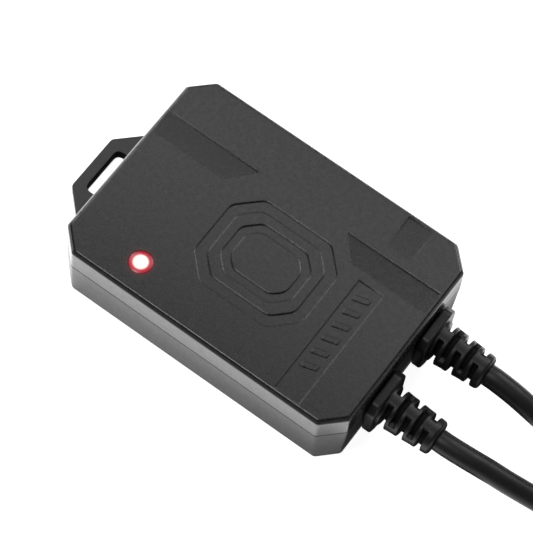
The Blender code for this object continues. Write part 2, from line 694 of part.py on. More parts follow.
def plug(prefix, y, m, contacts, pins):
    """Round plug pointing back along X: moulded body, contact carrier, contacts, seal and coupling nut."""
    place = along_x(PLUG_REAR_X, y, PLUG_Z, -1.0)
    body_profile = [(0.0, 3.7), (1.2, 4.3), (7.0, 4.9), (8.4, 5.9), (19.2, 6.1), (20.0, 5.7), (20.0, 4.6),
                    (24.4, 4.6), (24.4, 5.4), (26.0, 5.4), (26.0, 4.6), (35.0, 4.6), (35.0, 4.1), (28.0, 4.1)]
    sleeve = lambda bm: add_turned(bm, body_profile, place, 24)
    body = solid(prefix + "_plug_body", sleeve, m["overmould"], 35.0)

    def grips(bm):
        for k in range(8):
            turn = Matrix.Rotation(math.radians(45.0 * k), 4, "X")
            corners = [(10.0, 5.55, -0.6), (18.0, 5.55, -0.6), (18.0, 5.55, 0.6), (10.0, 5.55, 0.6)]
            low = [tuple(place @ turn @ Vector(p)) for p in corners]
            high = [tuple(place @ turn @ Vector((p[0], 8.0, p[2]))) for p in corners]
            add_rings(bm, [high, low])

    shape_with(body, "DIFFERENCE", prefix + "_grip_flats", grips)

    front = 30.4 if pins else 34.6
    carrier_profile = [(28.3, 3.8), (front - 0.3, 3.8), (front, 3.5)]
    insert = lambda bm: add_turned(bm, carrier_profile, place, 24)
    carrier = solid(prefix + "_contact_carrier", insert, m["carrier"], 35.0)

    def sockets(bm):
        hole = [(28.0 if pins else 28.6, 1.0), (36.0, 1.0)]
        for a, b in contacts:
            add_turned(bm, hole, place @ Matrix.Translation((0.0, a, b)), 12)

    shape_with(carrier, "DIFFERENCE", prefix + "_sockets", sockets)
    for k, (a, b) in enumerate(contacts):
        spot = place @ Matrix.Translation((0.0, a, b))
        if pins:
            kind, shape = "pin", [(28.4, 0.6), (33.6, 0.6), (34.2, 0.25)]
        else:
            kind, shape = "contact", [(28.9, 0.75), (34.0, 0.75), (34.0, 0.45), (28.9, 0.45)]
        contact = lambda bm: add_turned(bm, shape, spot, 12, looped=not pins)
        solid("%s_%s_%d" % (prefix, kind, k + 1), contact, m["contact"], 35.0)

    seal_profile = [(26.4, 4.9), (26.3, 5.3), (26.7, 5.6), (27.3, 5.6), (27.7, 5.3), (27.6, 4.9)]
    seal = lambda bm: add_turned(bm, seal_profile, place, 24, looped=True)
    solid(prefix + "_plug_seal", seal, m["rubber"], 50.0)
    coupling_nut(prefix, place, m["nut"])


def coupling_nut(prefix, place, material):
    """Knurled nut that turns freely on the plug's neck, held by the flange in front of it."""
    centre = place @ Vector((NUT_CENTRE, 0.0, 0.0))
    profile = [(20.4, 6.2), (21.0, 6.8, True), (31.6, 6.8, True), (32.4, 6.3), (35.6, 6.3), (35.6, 5.8),
               (34.4, 5.8), (34.0, 6.05), (33.4, 6.05), (33.0, 5.8), (32.4, 5.8), (32.0, 6.05), (31.4, 6.05),
               (31.0, 5.8), (24.1, 5.8), (24.1, 4.9), (20.4, 4.9)]
    local = place.copy()
    local.translation = Vector((0.0, 0.0, 0.0))
    shifted = [(p[0] - NUT_CENTRE, *p[1:]) for p in profile]
    nut = lambda bm: add_turned(bm, shifted, local, 2 * NUT_FLUTES, NUT_FLUTES, NUT_FLUTE_DEPTH, looped=True)
    item = solid(prefix + "_coupling_nut", nut, material, 35.0)
    item.location = centre * MM
    return item


def ring_of_contacts(count, radius, start=90.0):
    angles = [math.radians(start + 360.0 * k / count) for k in range(count)]
    return [(radius * math.cos(a), radius * math.sin(a)) for a in angles]


def main():
    clear_scene()
    m = {
        "case": finish("case_plastic", (0.055, 0.055, 0.056), 0.55),
        "rubber": finish("black_rubber", (0.02, 0.02, 0.02), 0.7),
        "steel": finish("zinc_steel", (0.62, 0.62, 0.6), 0.35, 1.0),
        "board": finish("board_laminate", (0.02, 0.16, 0.06), 0.45),
        "module": finish("module_laminate", (0.03, 0.05, 0.16), 0.45),
        "tin": finish("tinned_steel", (0.72, 0.72, 0.7), 0.3, 1.0),
        "ceramic": finish("pale_ceramic", (0.75, 0.73, 0.66), 0.5),
        "chip": finish("chip_epoxy", (0.025, 0.025, 0.027), 0.5),
        "ferrite": finish("ferrite", (0.06, 0.055, 0.05), 0.75),
        "can": finish("capacitor_can", (0.8, 0.8, 0.82), 0.3, 1.0),
        "lamp": finish("lamp_lens", (0.85, 0.05, 0.06), 0.2),
        "diode": finish("diode_resin", (0.9, 0.88, 0.8), 0.4),
        "jacket": finish("lead_jacket", (0.022, 0.022, 0.023), 0.45),
        "boot": finish("boot_rubber", (0.02, 0.02, 0.02), 0.55),
        "overmould": finish("overmould", (0.03, 0.03, 0.03), 0.55),
        "carrier": finish("contact_carrier", (0.05, 0.05, 0.05), 0.4),
        "contact": finish("gold_contact", (0.85, 0.62, 0.25), 0.25, 1.0),
        "nut": finish("nickel_nut", (0.66, 0.65, 0.62), 0.3, 1.0),
    }
    wire_colours = {"red": (0.6, 0.02, 0.02), "black": (0.02, 0.02, 0.02), "green": (0.02, 0.3, 0.06),
                    "blue": (0.02, 0.07, 0.5), "white": (0.8, 0.8, 0.78)}
    for colour, rgb in wire_colours.items():
        m["wire_" + colour] = finish("wire_" + colour, rgb, 0.45)

    lower_housing(m["case"])
    top_cover(m["case"])
    perimeter_gasket(m["rubber"])
    for k, (x, y) in enumerate(corner_bosses()):
        screw("cover_screw_%d" % (k + 1), x, y, SCREW_HEAD_LOW, SCREW_HEAD_RADIUS, SCREW_HEAD_HEIGHT,
              SCREW_TOP - 1.0, SCREW_SHANK_RADIUS, 0.7, m["steel"])
    electronics(m)
    lead_boot("power_lead_boot", LEAD_Y, m["boot"])
    lead_boot("output_lead_boot", -LEAD_Y, m["boot"])
    wires(m)
    tube("power_lead", POWER_ROUTE, LEAD_RADIUS, 7.0, m["jacket"], 4)
    tube("output_lead", OUTPUT_ROUTE, LEAD_RADIUS, 7.0, m["jacket"], 4)
    plug("power", POWER_PLUG_Y, m, ring_of_contacts(2, 1.7, 0.0), True)
    plug("output", OUTPUT_PLUG_Y, m, ring_of_contacts(4, 2.4, 45.0) + [(0.0, 0.0)], False)


main()
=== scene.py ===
import math

import bmesh
import bpy
from mathutils import Matrix, Vector


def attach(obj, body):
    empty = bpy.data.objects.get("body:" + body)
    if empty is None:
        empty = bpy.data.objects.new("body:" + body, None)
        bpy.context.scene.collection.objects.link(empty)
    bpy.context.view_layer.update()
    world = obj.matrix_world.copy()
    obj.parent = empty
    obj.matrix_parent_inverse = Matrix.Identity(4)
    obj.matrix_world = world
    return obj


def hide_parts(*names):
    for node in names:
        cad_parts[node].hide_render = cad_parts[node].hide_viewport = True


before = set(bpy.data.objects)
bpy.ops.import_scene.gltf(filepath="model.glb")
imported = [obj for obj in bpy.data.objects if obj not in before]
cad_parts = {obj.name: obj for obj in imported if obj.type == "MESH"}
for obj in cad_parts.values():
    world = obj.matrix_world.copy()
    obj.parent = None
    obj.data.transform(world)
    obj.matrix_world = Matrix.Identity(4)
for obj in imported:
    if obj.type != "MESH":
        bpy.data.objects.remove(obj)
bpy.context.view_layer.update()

# A wireless light controller: a moulded case with a slotted ear, two booted leads and two round plugs.
# It stands on z = 0 with its leads toward +X. Sizes are in millimetres unless a comment says otherwise.
MM = 0.001
BODY = "controller"

# Camera, solved from the straight edges of the case. Place and clipping are in metres.
CAMERA_AT = (0.135997, -0.254129, 0.633373)
CAMERA_RIGHT = (0.80785981, 0.5858721, 0.06415925)
CAMERA_DOWN = (0.55520355, -0.71997029, -0.4164034)
CAMERA_AHEAD = (-0.19776638, 0.37201702, -0.90691333)
CAMERA_LENS = 175.72
CAMERA_SENSOR = 36.0
CAMERA_CLIP = (0.01, 20.0)

# Meshes. A rounded corner takes at most ARC_SHARE of its shorter side, and a point at most GUARD beyond
# it keeps the flat flat. Helper shapes reach OVERLAP into or past what they join or cut.
ARC_SHARE = 0.4
GUARD = 0.08
OVERLAP = 1.0
# Radius that stands for zero at the ends of a turned line.
ON_AXIS = 0.0001
# Points round a full turn, and along a rounded corner, where the usual 48 and 4 don't do.
LARGE_TURN = 64
SMALL_TURN = 32
TINY_TURN = 24
SEAL_TURN = 96
GRIP_TURN = 128
BOOT_TURN = 144
TURN_PER_FLUTE = 10
SHORT_ARC = 3
LONG_ARC = 8
SLOT_ARC = 10
# Faces that meet at more than this angle keep a sharp edge; by slot, and for every other slot.
SHARP_ANGLES = {"overmould": 50.0, "black_rubber": 60.0, "nickel_nut": 55.0, "boot_rubber": 48.0,
                "lamp_lens": 40.0}
SHARP_ANGLE = 32.0
# Shortening of an octagon's corner legs per millimetre of inset, so that the corner moves in as well.
CORNER_TRIM = 2.0 - math.sqrt(2.0)

# Case, as in the CAD model.
CASE_LENGTH = 90.0
CASE_WIDTH = 63.5
CASE_HEIGHT = 24.5
CORNER = 6.0
PARTING = 16.0
PARTING_GAP = 0.3
TOP_BEVEL = 0.8
TOP_BEVEL_HEIGHT = 1.2
COVER_FLARE = 0.18
BASE_TAPER_X = 0.27
BASE_TAPER_Y = 0.75
BASE_CORNER = 5.4
FOOT_BEVEL = 0.3
WALL = 3.4
FLOOR = 2.4
LID = 2.4
# The faces at the parting, and those above and below, start as narrow flat borders this wide.
PARTING_BORDER = 0.9
FACE_BORDER = 2.0
OUTLINE_ROUND = 0.7
CASE_STEPS = 5
BASE_ROUNDS = (0.0, 0.12, 0.12, 0.14, 0.0)
COVER_ROUNDS = (0.0, 0.14, 0.3, 0.55, 0.0)
SEAL_INSET = 1.0
SEAL_WIDTH = 1.2
SEAL_PLAY = 0.2
SEAL_DEPTH = 1.6
BOSS_X = 35.5
BOSS_Y = 22.5
BOSS_RADIUS = 4.0
HEAD_POCKET_RADIUS = 3.1
HEAD_POCKET_DEPTH = 4.2
SCREW_HOLE_RADIUS = 1.7
SCREW_TOP = 21.6
THREAD_RADIUS = 1.6
STANDOFFS = ((-37.0, 13.0), (-37.0, -13.0), (27.0, 24.2), (27.0, -24.2))
STANDOFF_RADIUS = 2.6
STANDOFF_TOP = 4.9
STANDOFF_HOLE_RADIUS = 1.2
STANDOFF_HOLE_FLOOR = 0.6

EAR_TIP = -56.8
EAR_LOW = 1.0
EAR_HIGH = 4.8
EAR_HALF = 8.8
EAR_CORNER_ROUND = 0.7
# The ear's edge as (inset, z), with the rounding at each point.
EAR_EDGE = ((0.6, EAR_LOW), (0.0, EAR_LOW), (0.0, EAR_HIGH), (0.6, EAR_HIGH))
EAR_ROUNDS = (0.0, 0.2, 0.3, 0.0)
SLOT_X = (-53.6, -48.4)
SLOT_HALF = 7.35
SLOT_CORNER = 1.98
# The slot's cutter as (how far out, z): a wider mouth below and a round one above.
SLOT_ROWS = ((0.2, EAR_LOW - 1.0), (0.2, EAR_LOW), (0.0, EAR_LOW + 0.2), (0.0, EAR_HIGH - 0.2),
             (0.06, EAR_HIGH - 0.06), (0.2, EAR_HIGH), (0.2, EAR_HIGH + 1.0))

# Round rim of a recess: how far out and how far below the surface, from the wall to the surface.
RIM = ((0.0, 0.24), (0.05, 0.11), (0.15, 0.04), (0.34, 0.0))
# A floor this many times as deep as the rim has a full rim.
FULL_RIM = 1.2
# Recessed panels: outline corners, with the depth of the floor at each one.
FLUSH = 0.01
DEEP = 0.5
PANELS = (
    (((-43.6, 9.1), (-20.7, 9.2), (-14.3, 16.6), (-43.6, 16.6)), (FLUSH, 0.1, 0.7, 0.28)),
    (((20.0, 9.8), (43.4, 9.8), (43.4, 16.8), (14.2, 16.6)), (0.05, 0.05, 0.58, 0.58)),
    (((24.6, 19.5), (32.0, 19.5), (32.0, 30.1), (24.6, 30.1)), (FLUSH, FLUSH, 0.3, DEEP)),
    (((24.5, -30.1), (32.0, -30.1), (32.0, 7.1), (24.5, 7.1)), (DEEP, 0.28, 0.28, DEEP)))
# Slanted bars in the label strip; their sides are (how far out, how far below the lid's surface).
BAR_COUNT = 6
BAR_PITCH = 4.6
BAR_FIRST_Y = -21.5
BAR_X = (26.0, 30.5)
BAR_WIDTH = 1.8
BAR_SLANT = 1.2
BAR_ROUND = 0.3
BAR_SIDES = ((0.0, 1.2), (0.0, 0.3), (-0.06, 0.15), (-0.16, 0.07), (-0.3, 0.05))
# Nested octagonal bands: half length, half width and width of each.
EMBLEM_AT = (2.5, -3.6)
EMBLEM_DEPTH = 0.45
EMBLEM_CORNER = 6.6
EMBLEM_ROUND = 1.6
EMBLEM_BANDS = ((17.0, 14.6, 2.9), (11.2, 8.8, 2.2))

# Lamp: a light pipe with a collar under the lid and a domed head.
LAMP_AT = (-23.2, -23.2)
LAMP_RADIUS = 3.1
LAMP_HOLE_PLAY = 0.3
HEAD_RADIUS = LAMP_RADIUS + 0.22
HEAD_SHOULDER = CASE_HEIGHT - 0.15
DOME_RISE = 0.42
DOME_STEPS = 12
PIPE_FOOT = 8.6
PIPE_RADIUS = 2.0
COLLAR_RADIUS = 3.9
COLLAR_LOW = CASE_HEIGHT - LID - 1.1
COLLAR_HIGH = CASE_HEIGHT - LID - 0.3
PIPE_ROUNDS = (0.0, 0.3, 0.2, 0.2, 0.2, 0.1, 0.0)

# Lead exits, boots and routes.
LEAD_Y = 11.4
LEAD_Z = 11.0
LEAD_RADIUS = 3.1
LEAD_STEPS = 10
LEAD_ROUNDNESS = 14
LEAD_SLOT_HALF = 5.5
LEAD_SLOT_LOW = 5.7
LEAD_SLOT_REACH = 4.4
BOOT_START = 47.2
BOOT_END = 63.9
BOOT_END_ROUND = 0.9
BOOT_STATIONS = 220
# Slots in the sleeve: from and to along X, and the angle of the webs that cross them.
BOOT_SLOTS = ((49.3, 50.5, 90.0), (52.0, 53.2, 0.0), (54.8, 56.0, 90.0), (57.5, 58.7, 0.0),
              (60.2, 61.4, 90.0))
BOOT_FIRST_RADIUS = 6.1
BOOT_LAST_RADIUS = 4.95
BOOT_CORE_RADIUS = 3.7
WEB_HALF_ANGLE = 21.0
# Arc lengths round the sleeve are taken at WEB_RADIUS. Slot edges are round over SLOT_EDGE, and the
# distance to a slot runs from SLOT_MIDDLE inside it to NO_SLOT_NEAR.
WEB_RADIUS = 5.0
SLOT_EDGE = 0.42
SLOT_MIDDLE = -0.25
NO_SLOT_NEAR = 9.0
# Rings of a boot. Inside the case: x, half width, low, high and corner. Its outer plate: x, half width,
# half height and corner.
FLANGE_ROUND = 0.9
INNER_RINGS = ((39.5, 6.8, 4.6, 15.6, 1.5), (41.3, 6.8, 4.6, 15.6, 1.5), (41.3, 5.2, 6.0, 15.15, 0.2),
               (45.5, 5.2, 6.0, 15.15, 0.2))
PLATE_RINGS = ((45.5, 7.1, 7.2, 2.3), (45.58, 7.35, 7.45, 2.4), (45.75, 7.52, 7.62, 2.46),
               (46.0, 7.6, 7.7, 2.5), (47.7, 7.6, 7.7, 2.5), (47.98, 7.52, 7.62, 2.46),
               (48.18, 7.35, 7.45, 2.4), (48.3, 7.0, 7.1, 2.3))
# Points along the middle of each lead, from its boot to its plug.
POWER_ROUTE = (
    (64.3, 11.4, 11.0), (67.3, 11.4, 10.93), (73.0, 11.4, 9.9), (78.5, 11.4, 8.1), (84.0, 11.4, 6.1),
    (90.0, 11.4, 4.4), (97.0, 11.4, 3.4), (106.0, 11.65, 3.2), (112.73, 12.54, 3.2), (119.0, 15.13, 3.2),
    (124.38, 19.27, 3.2), (128.52, 24.65, 3.2), (131.11, 30.92, 3.2), (132.0, 37.65, 3.2),
    (131.11, 44.38, 3.2), (128.52, 50.65, 3.3), (124.38, 56.03, 3.7), (119.0, 60.17, 4.4),
    (112.73, 62.76, 5.3), (106.0, 63.65, 6.2), (98.5, 63.65, 6.8), (92.3, 63.65, 7.0))
OUTPUT_ROUTE = (
    (64.3, -11.4, 11.0), (67.3, -11.38, 10.96), (73.0, -10.8, 10.3), (79.0, -9.8, 8.9), (85.0, -8.8, 7.2),
    (91.5, -7.5, 5.3), (98.0, -6.25, 3.9), (104.0, -5.16, 3.3), (114.45, -1.87, 3.2), (123.7, 4.03, 3.2),
    (131.1, 12.11, 3.2), (136.17, 21.84, 3.2), (138.54, 32.54, 3.2), (138.06, 43.49, 3.2),
    (134.76, 53.95, 3.3), (128.87, 63.2, 3.7), (120.79, 70.6, 4.5), (111.06, 75.67, 5.6),
    (101.5, 77.9, 6.6), (96.5, 78.2, 6.9), (92.3, 78.2, 7.0))

# Plugs. Their turned parts are (along, radius) lines from the plug's rear, with roundings to match.
PLUG_REAR_X = 92.0
PLUG_Z = 7.0
PLUG_Y = {"power": 63.65, "output": 78.2}
BODY_LINE = ((0.0, 3.2), (0.0, 3.7), (1.2, 4.3), (7.0, 4.9), (8.4, 5.9), (19.2, 6.1), (20.0, 5.7),
             (20.0, 4.6), (24.4, 4.6), (24.4, 5.4), (26.0, 5.4), (26.0, 4.6), (35.0, 4.6), (35.0, 4.1),
             (28.0, 4.1), (28.0, 3.2))
BODY_ROUNDS = (0.0, 0.2, 0.8, 1.2, 0.8, 0.5, 0.2, 0.1, 0.1, 0.15, 0.15, 0.1, 0.15, 0.15, 0.1, 0.0)
BODY_SPACING = 0.3
GRIP_COUNT = 8
GRIP_SPAN = (9.0, 19.0)
GRIP_RADIUS = 5.8
GRIP_MIDDLE = 14.0
GRIP_HALF_LENGTH = 3.2
GRIP_HALF_WIDTH = 0.95
GRIP_DEPTH = 0.5

# Insert and its sockets, for pins and for the tubular contacts. Socket mouths must not meet each other.
INSERT_BACK = 28.3
INSERT_RADIUS = 3.8
INSERT_CAP_RADIUS = 3.2
INSERT_ROUNDS = (0.0, 0.1, 0.35, 0.0)
INSERT_FRONT = {"pin": 30.4, "contact": 34.6}
SOCKET_FLOOR = {"pin": 28.0, "contact": 28.6}
SOCKET_RADIUS = 1.0
SOCKET_MOUTH_RADIUS = 1.15
SOCKET_MOUTH = (-0.15, 0.02)
SOCKET_END = 36.0
PIN_LINE = ((28.4, ON_AXIS), (28.4, 0.6), (33.6, 0.6), (34.2, 0.25), (34.2, ON_AXIS))
PIN_ROUNDS = (0.0, 0.05, 0.3, 0.1, 0.0)
CONTACT_LINE = ((28.9, 0.75), (34.0, 0.75), (34.0, 0.45), (28.9, 0.45))
CONTACT_ROUND = 0.08
SEAL_LINE = ((26.4, 4.9), (26.3, 5.3), (26.7, 5.6), (27.3, 5.6), (27.7, 5.3), (27.6, 4.9))
SEAL_ROUND = 0.3
NUT_LINE = ((20.4, 6.2), (21.0, 6.8), (31.6, 6.8), (32.4, 6.3), (35.6, 6.3), (35.6, 5.8), (34.4, 5.8),
            (34.0, 6.05), (33.4, 6.05), (33.0, 5.8), (32.4, 5.8), (32.0, 6.05), (31.4, 6.05), (31.0, 5.8),
            (24.1, 5.8), (24.1, 4.9), (20.4, 4.9))
NUT_ROUNDS = (0.2, 0.3, 0.3, 0.3, 0.15, 0.1, 0.1, 0.1, 0.1, 0.1, 0.1, 0.1, 0.1, 0.1, 0.1, 0.1, 0.15)
NUT_SPACING = 0.4
FLUTE_COUNT = 36
FLUTE_DEPTH = 0.4
FLUTE_SPAN = (21.0, 31.8)
FLUTE_FADE = 0.7
FLUTE_SHARPNESS = 1.5
FLUTED_ABOVE = 6.25
# Places of the pins and contacts: count, radius and first angle of a ring, and one in the middle.
PIN_RING = (2, 1.7, 0.0)
CONTACT_RING = (4, 2.4, 45.0)
MIDDLE = [(0.0, 0.0)]

# Middle range of a noise pattern, which is spread over the whole of what it drives.
PATTERN_LOW = 0.3
PATTERN_HIGH = 0.7
GRAIN_ROUGHNESS = 0.65
# Painted shade in the sleeve's slots: boot rubber is dark up to the first of these radii, and has its own
# colour from the second.
SLOT_SHADE = (3.9, 4.6)
WIRE_COLOURS = {"red": (0.5, 0.015, 0.015), "black": (0.018, 0.018, 0.018), "green": (0.015, 0.22, 0.045),
                "blue": (0.015, 0.05, 0.4), "white": (0.74, 0.74, 0.71)}
# Light by distance from the middle of the lamp's face: (millimetres, rgb); first for the lens, then a
# painted red glow on the lid round it.
LAMP_STOPS = ((0.0, (1.0, 1.0, 1.0)), (1.86, (1.0, 0.95, 0.9)), (2.2, (0.72, 0.14, 0.16)),
              (2.45, (0.5, 0.022, 0.045)), (2.95, (0.26, 0.012, 0.025)), (3.4, (0.06, 0.004, 0.008)))
PAINTED_GLOW_STOPS = ((0.0, (0.05, 0.002, 0.003)), (3.4, (0.05, 0.002, 0.003)), (4.0, (0.012, 0.0, 0.0005)),
               (5.2, (0.0, 0.0, 0.0)))


# ---- outlines and meshes

def octagon(half_x, half_y, corner):
    """A rectangle with its corners cut off; all outlines run anticlockwise."""
    x, y, c = half_x, half_y, corner
    return [(x, c - y), (x, y - c), (x - c, y), (c - x, y),
            (-x, y - c), (-x, c - y), (c - x, -y), (x - c, -y)]


def case_outline(inset_x, inset_y=None, corner=CORNER):
    inset_y = inset_x if inset_y is None else inset_y
    corner -= CORNER_TRIM * (inset_x + inset_y) / 2.0
    return octagon(CASE_LENGTH / 2.0 - inset_x, CASE_WIDTH / 2.0 - inset_y, corner)


def rectangle(x0, x1, y0, y1):
    return [(x0, y0), (x1, y0), (x1, y1), (x0, y1)]


def circle(x, y, radius, steps=48):
    turns = [2.0 * math.pi * k / steps for k in range(steps)]
    return [(x + radius * math.cos(a), y + radius * math.sin(a)) for a in turns]


def soften(points, reach, steps=4, closed=True):
    """Round every corner, with one more point beyond each end of the arc to keep the flats flat."""
    corners = [Vector(p) for p in points]
    last = len(corners) - 1
    reaches = reach if isinstance(reach, (list, tuple)) else [reach] * len(corners)
    soft = []
    for i, corner in enumerate(corners):
        if not closed and i in (0, last):
            soft.append(corner)
            continue
        back = corners[i - 1] - corner
        ahead = corners[(i + 1) % len(corners)] - corner
        shortest = min(back.length, ahead.length)
        near = min(reaches[i], ARC_SHARE * shortest)
        far = near + GUARD * min(1.0, shortest)
        back.normalize()
        ahead.normalize()
        soft.append(corner + back * far)
        start, end = corner + back * near, corner + ahead * near
        for k in range(steps + 1):
            t = k / steps
            soft.append(start.lerp(corner, t).lerp(corner.lerp(end, t), t))
        soft.append(corner + ahead * far)
    return soft


def grow(points, reach):
    """Move every edge of an anticlockwise outline outwards."""
    corners = [Vector(p) for p in points]
    moved = []
    for i, corner in enumerate(corners):
        back = (corner - corners[i - 1]).normalized()
        ahead = (corners[(i + 1) % len(corners)] - corner).normalized()
        out_back, out_ahead = Vector((back.y, -back.x)), Vector((ahead.y, -ahead.x))
        moved.append(corner + (out_back + out_ahead) * reach / (1.0 + out_back.dot(out_ahead)))
    return moved


def dense(points, spacing):
    """The same open line with more points on its long stretches."""
    fine = []
    for a, b in zip(points, points[1:]):
        count = max(1, math.ceil((b - a).length / spacing))
        fine += [a.lerp(b, k / count) for k in range(count)]
    return fine + [points[-1]]


def level(outline, z):
    return [(p[0], p[1], z) for p in outline]


def add_rings(bm, rings, looped=False):
    """Skin a row of rings; each one is anticlockwise seen from the last."""
    rows = [[bm.verts.new(Vector(p) * MM) for p in ring] for ring in rings]
    pairs = list(zip(rows, rows[1:]))
    if looped:
        pairs.append((rows[-1], rows[0]))
    for low, high in pairs:
        for i in range(len(low)):
            j = (i + 1) % len(low)
            bm.faces.new((low[i], low[j], high[j], high[i]))
    if not looped:
        bm.faces.new(list(reversed(rows[0])))
        bm.faces.new(rows[-1])


def add_prism(bm, outline, z0, z1):
    add_rings(bm, [level(outline, z0), level(outline, z1)])


def add_band(bm, outer, inner, z0, z1):
    add_rings(bm, [level(outer, z0), level(outer, z1), level(inner, z1), level(inner, z0)], looped=True)


def add_turned(bm, profile, place, steps=48, looped=False, radius_at=None):
    """Turn (along, radius) points about place's X axis; radius_at(along, angle, radius) shapes them."""
    rows = []
    for along, radius in profile:
        row = []
        for k in range(steps):
            angle = 2.0 * math.pi * k / steps
            r = radius_at(along, angle, radius) if radius_at else radius
            row.append(place @ Vector((along, r * math.cos(angle), r * math.sin(angle))))
        rows.append(row)
    add_rings(bm, rows, looped)


def new_object(name, build):
    """An object whose mesh is what build(bm) adds."""
    bm = bmesh.new()
    build(bm)
    mesh = bpy.data.meshes.new(name)
    bm.to_mesh(mesh)
    bm.free()
    item = bpy.data.objects.new(name, mesh)
    bpy.context.scene.collection.objects.link(item)
    return item


def turned(name, profile, place, steps, **options):
    return new_object(name, lambda bm: add_turned(bm, profile, place, steps, **options))


def shape_with(item, operations):
    """Cut ("DIFFERENCE") or add ("UNION") helper shapes in turn, and keep the result as the mesh."""
    helpers = []
    for operation, build in operations:
        helper = new_object("helper", build)
        helpers.append(helper)
        modifier = item.modifiers.new("shape", "BOOLEAN")
        modifier.operation = operation
        modifier.solver = "EXACT"
        modifier.object = helper
    graph = bpy.context.evaluated_depsgraph_get()
    shaped = bpy.data.meshes.new_from_object(item.evaluated_get(graph))
    shaped.name = item.name
    item.modifiers.clear()
    item.data = shaped
    for helper in helpers:
        bpy.data.objects.remove(helper, do_unlink=True)


def dress(item, material, slot, node, body=BODY):
    """Shade a finished piece, and say what it rides on, what it replaces and what it is made of."""
    item.data.materials.clear()
    item.data.materials.append(material)
    item.data.shade_smooth()
    item.data.set_sharp_from_angle(angle=math.radians(SHARP_ANGLES.get(slot, SHARP_ANGLE)))
    weighted = item.modifiers.new("flat_faces", "WEIGHTED_NORMAL")
    weighted.keep_sharp = True
    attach(item, body)
    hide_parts(node)
    return item


# ---- materials

class Recipe:
    """A Principled material with object-space coordinates in millimetres for its patterns."""

    def __init__(self, name, roughness, metallic=0.0, **sockets):
        self.material = bpy.data.materials.new(name)
        self.material.use_nodes = True
        self.tree = self.material.node_tree
        self.shader = self.tree.nodes["Principled BSDF"]
        self.shader.inputs["Roughness"].default_value = roughness
        self.shader.inputs["Metallic"].default_value = metallic
        for socket, value in sockets.items():
            self.shader.inputs[socket.replace("_", " ")].default_value = value
        place = self.node("ShaderNodeTexCoord")
        scale = self.node("ShaderNodeMapping")
        scale.inputs["Scale"].default_value = (1.0 / MM,) * 3
        self.link(place.outputs["Object"], scale.inputs["Vector"])
        self.coordinates = scale.outputs["Vector"]

    def node(self, kind, **settings):
        made = self.tree.nodes.new(kind)
        for setting, value in settings.items():
            setattr(made, setting, value)
        return made

    def link(self, source, target):
        self.tree.links.new(source, target)

    def noise(self, size, detail=3.0, stretch=(1.0, 1.0, 1.0), roughness=0.55):
        """Noise whose features are about size millimetres across, longer where stretch is above one."""
        spread = self.node("ShaderNodeMapping")
        spread.inputs["Scale"].default_value = [1.0 / s for s in stretch]
        self.link(self.coordinates, spread.inputs["Vector"])
        noise = self.node("ShaderNodeTexNoise")
        noise.inputs["Scale"].default_value = 1.0 / size
        noise.inputs["Detail"].default_value = detail
        noise.inputs["Roughness"].default_value = roughness
        self.link(spread.outputs["Vector"], noise.inputs["Vector"])
        return noise.outputs["Fac"]

    def ramp(self, source, stops):
        """A colour ramp from (position, rgb) stops."""
        ramp = self.node("ShaderNodeValToRGB")
        elements = ramp.color_ramp.elements
        while len(elements) < len(stops):
            elements.new(0.5)
        for element, (position, rgb) in zip(elements, stops):
            element.position = position
            element.color = (*rgb, 1.0)
        self.link(source, ramp.inputs["Fac"])
        return ramp.outputs["Color"]

    def span(self, source, low, high, start=PATTERN_LOW, end=PATTERN_HIGH):
        """Map start..end, which is a pattern's middle range unless given, to low..high."""
        span = self.node("ShaderNodeMapRange")
        span.inputs["From Min"].default_value = start
        span.inputs["From Max"].default_value = end
        span.inputs["To Min"].default_value = low
        span.inputs["To Max"].default_value = high
        self.link(source, span.inputs["Value"])
        return span.outputs["Result"]

    def patches(self, size, dark, light):
        return self.ramp(self.noise(size, 4.0), ((PATTERN_LOW, dark), (PATTERN_HIGH, light)))

    def mottle(self, rgb, size, spread):
        """Base colour that drifts by the share spread to either side of rgb."""
        dark = [c * (1.0 - spread) for c in rgb]
        light = [min(1.0, c * (1.0 + spread)) for c in rgb]
        self.link(self.patches(size, dark, light), self.shader.inputs["Base Color"])

    def length(self, vector):
        """The length of a vector."""
        measure = self.node("ShaderNodeVectorMath", operation="LENGTH")
        self.link(vector, measure.inputs[0])
        return measure.outputs["Value"]

    def mirrored(self):
        """The coordinates without their signs, so that what they drive is mirrored about the middle."""
        fold = self.node("ShaderNodeVectorMath", operation="ABSOLUTE")
        self.link(self.coordinates, fold.inputs[0])
        return fold.outputs["Vector"]

    def grain(self, size, height, stretch=(1.0, 1.0, 1.0), rough=None):
        """Bump of the given height, and roughness between the two values of rough."""
        pattern = self.noise(size, 4.0, stretch, GRAIN_ROUGHNESS)
        bump = self.node("ShaderNodeBump")
        bump.inputs["Strength"].default_value = 1.0
        bump.inputs["Distance"].default_value = height * MM
        self.link(pattern, bump.inputs["Height"])
        self.link(bump.outputs["Normal"], self.shader.inputs["Normal"])
        if rough:
            self.link(self.span(self.noise(size * 3.0), *rough), self.shader.inputs["Roughness"])


def plastic(name, rgb, rough, grain_size=0.22, grain_height=0.010, spread=0.16, patch=3.0, **sockets):
    """Moulded plastic or rubber: faint patches in colour, and a fine spark-eroded or satin skin."""
    recipe = Recipe(name, sum(rough) / 2.0, **sockets)
    recipe.mottle(rgb, patch, spread)
    recipe.grain(grain_size, grain_height, rough=rough)
    return recipe.material


def metal(name, rgb, rough, stretch=(1.0, 1.0, 1.0), size=0.08, height=0.003):
    """Plated or drawn metal with fine lines along the stretched axis."""
    recipe = Recipe(name, sum(rough) / 2.0, 1.0)
    recipe.mottle(rgb, 1.6, 0.08)
    recipe.grain(size, height, stretch=stretch, rough=rough)
    return recipe.material


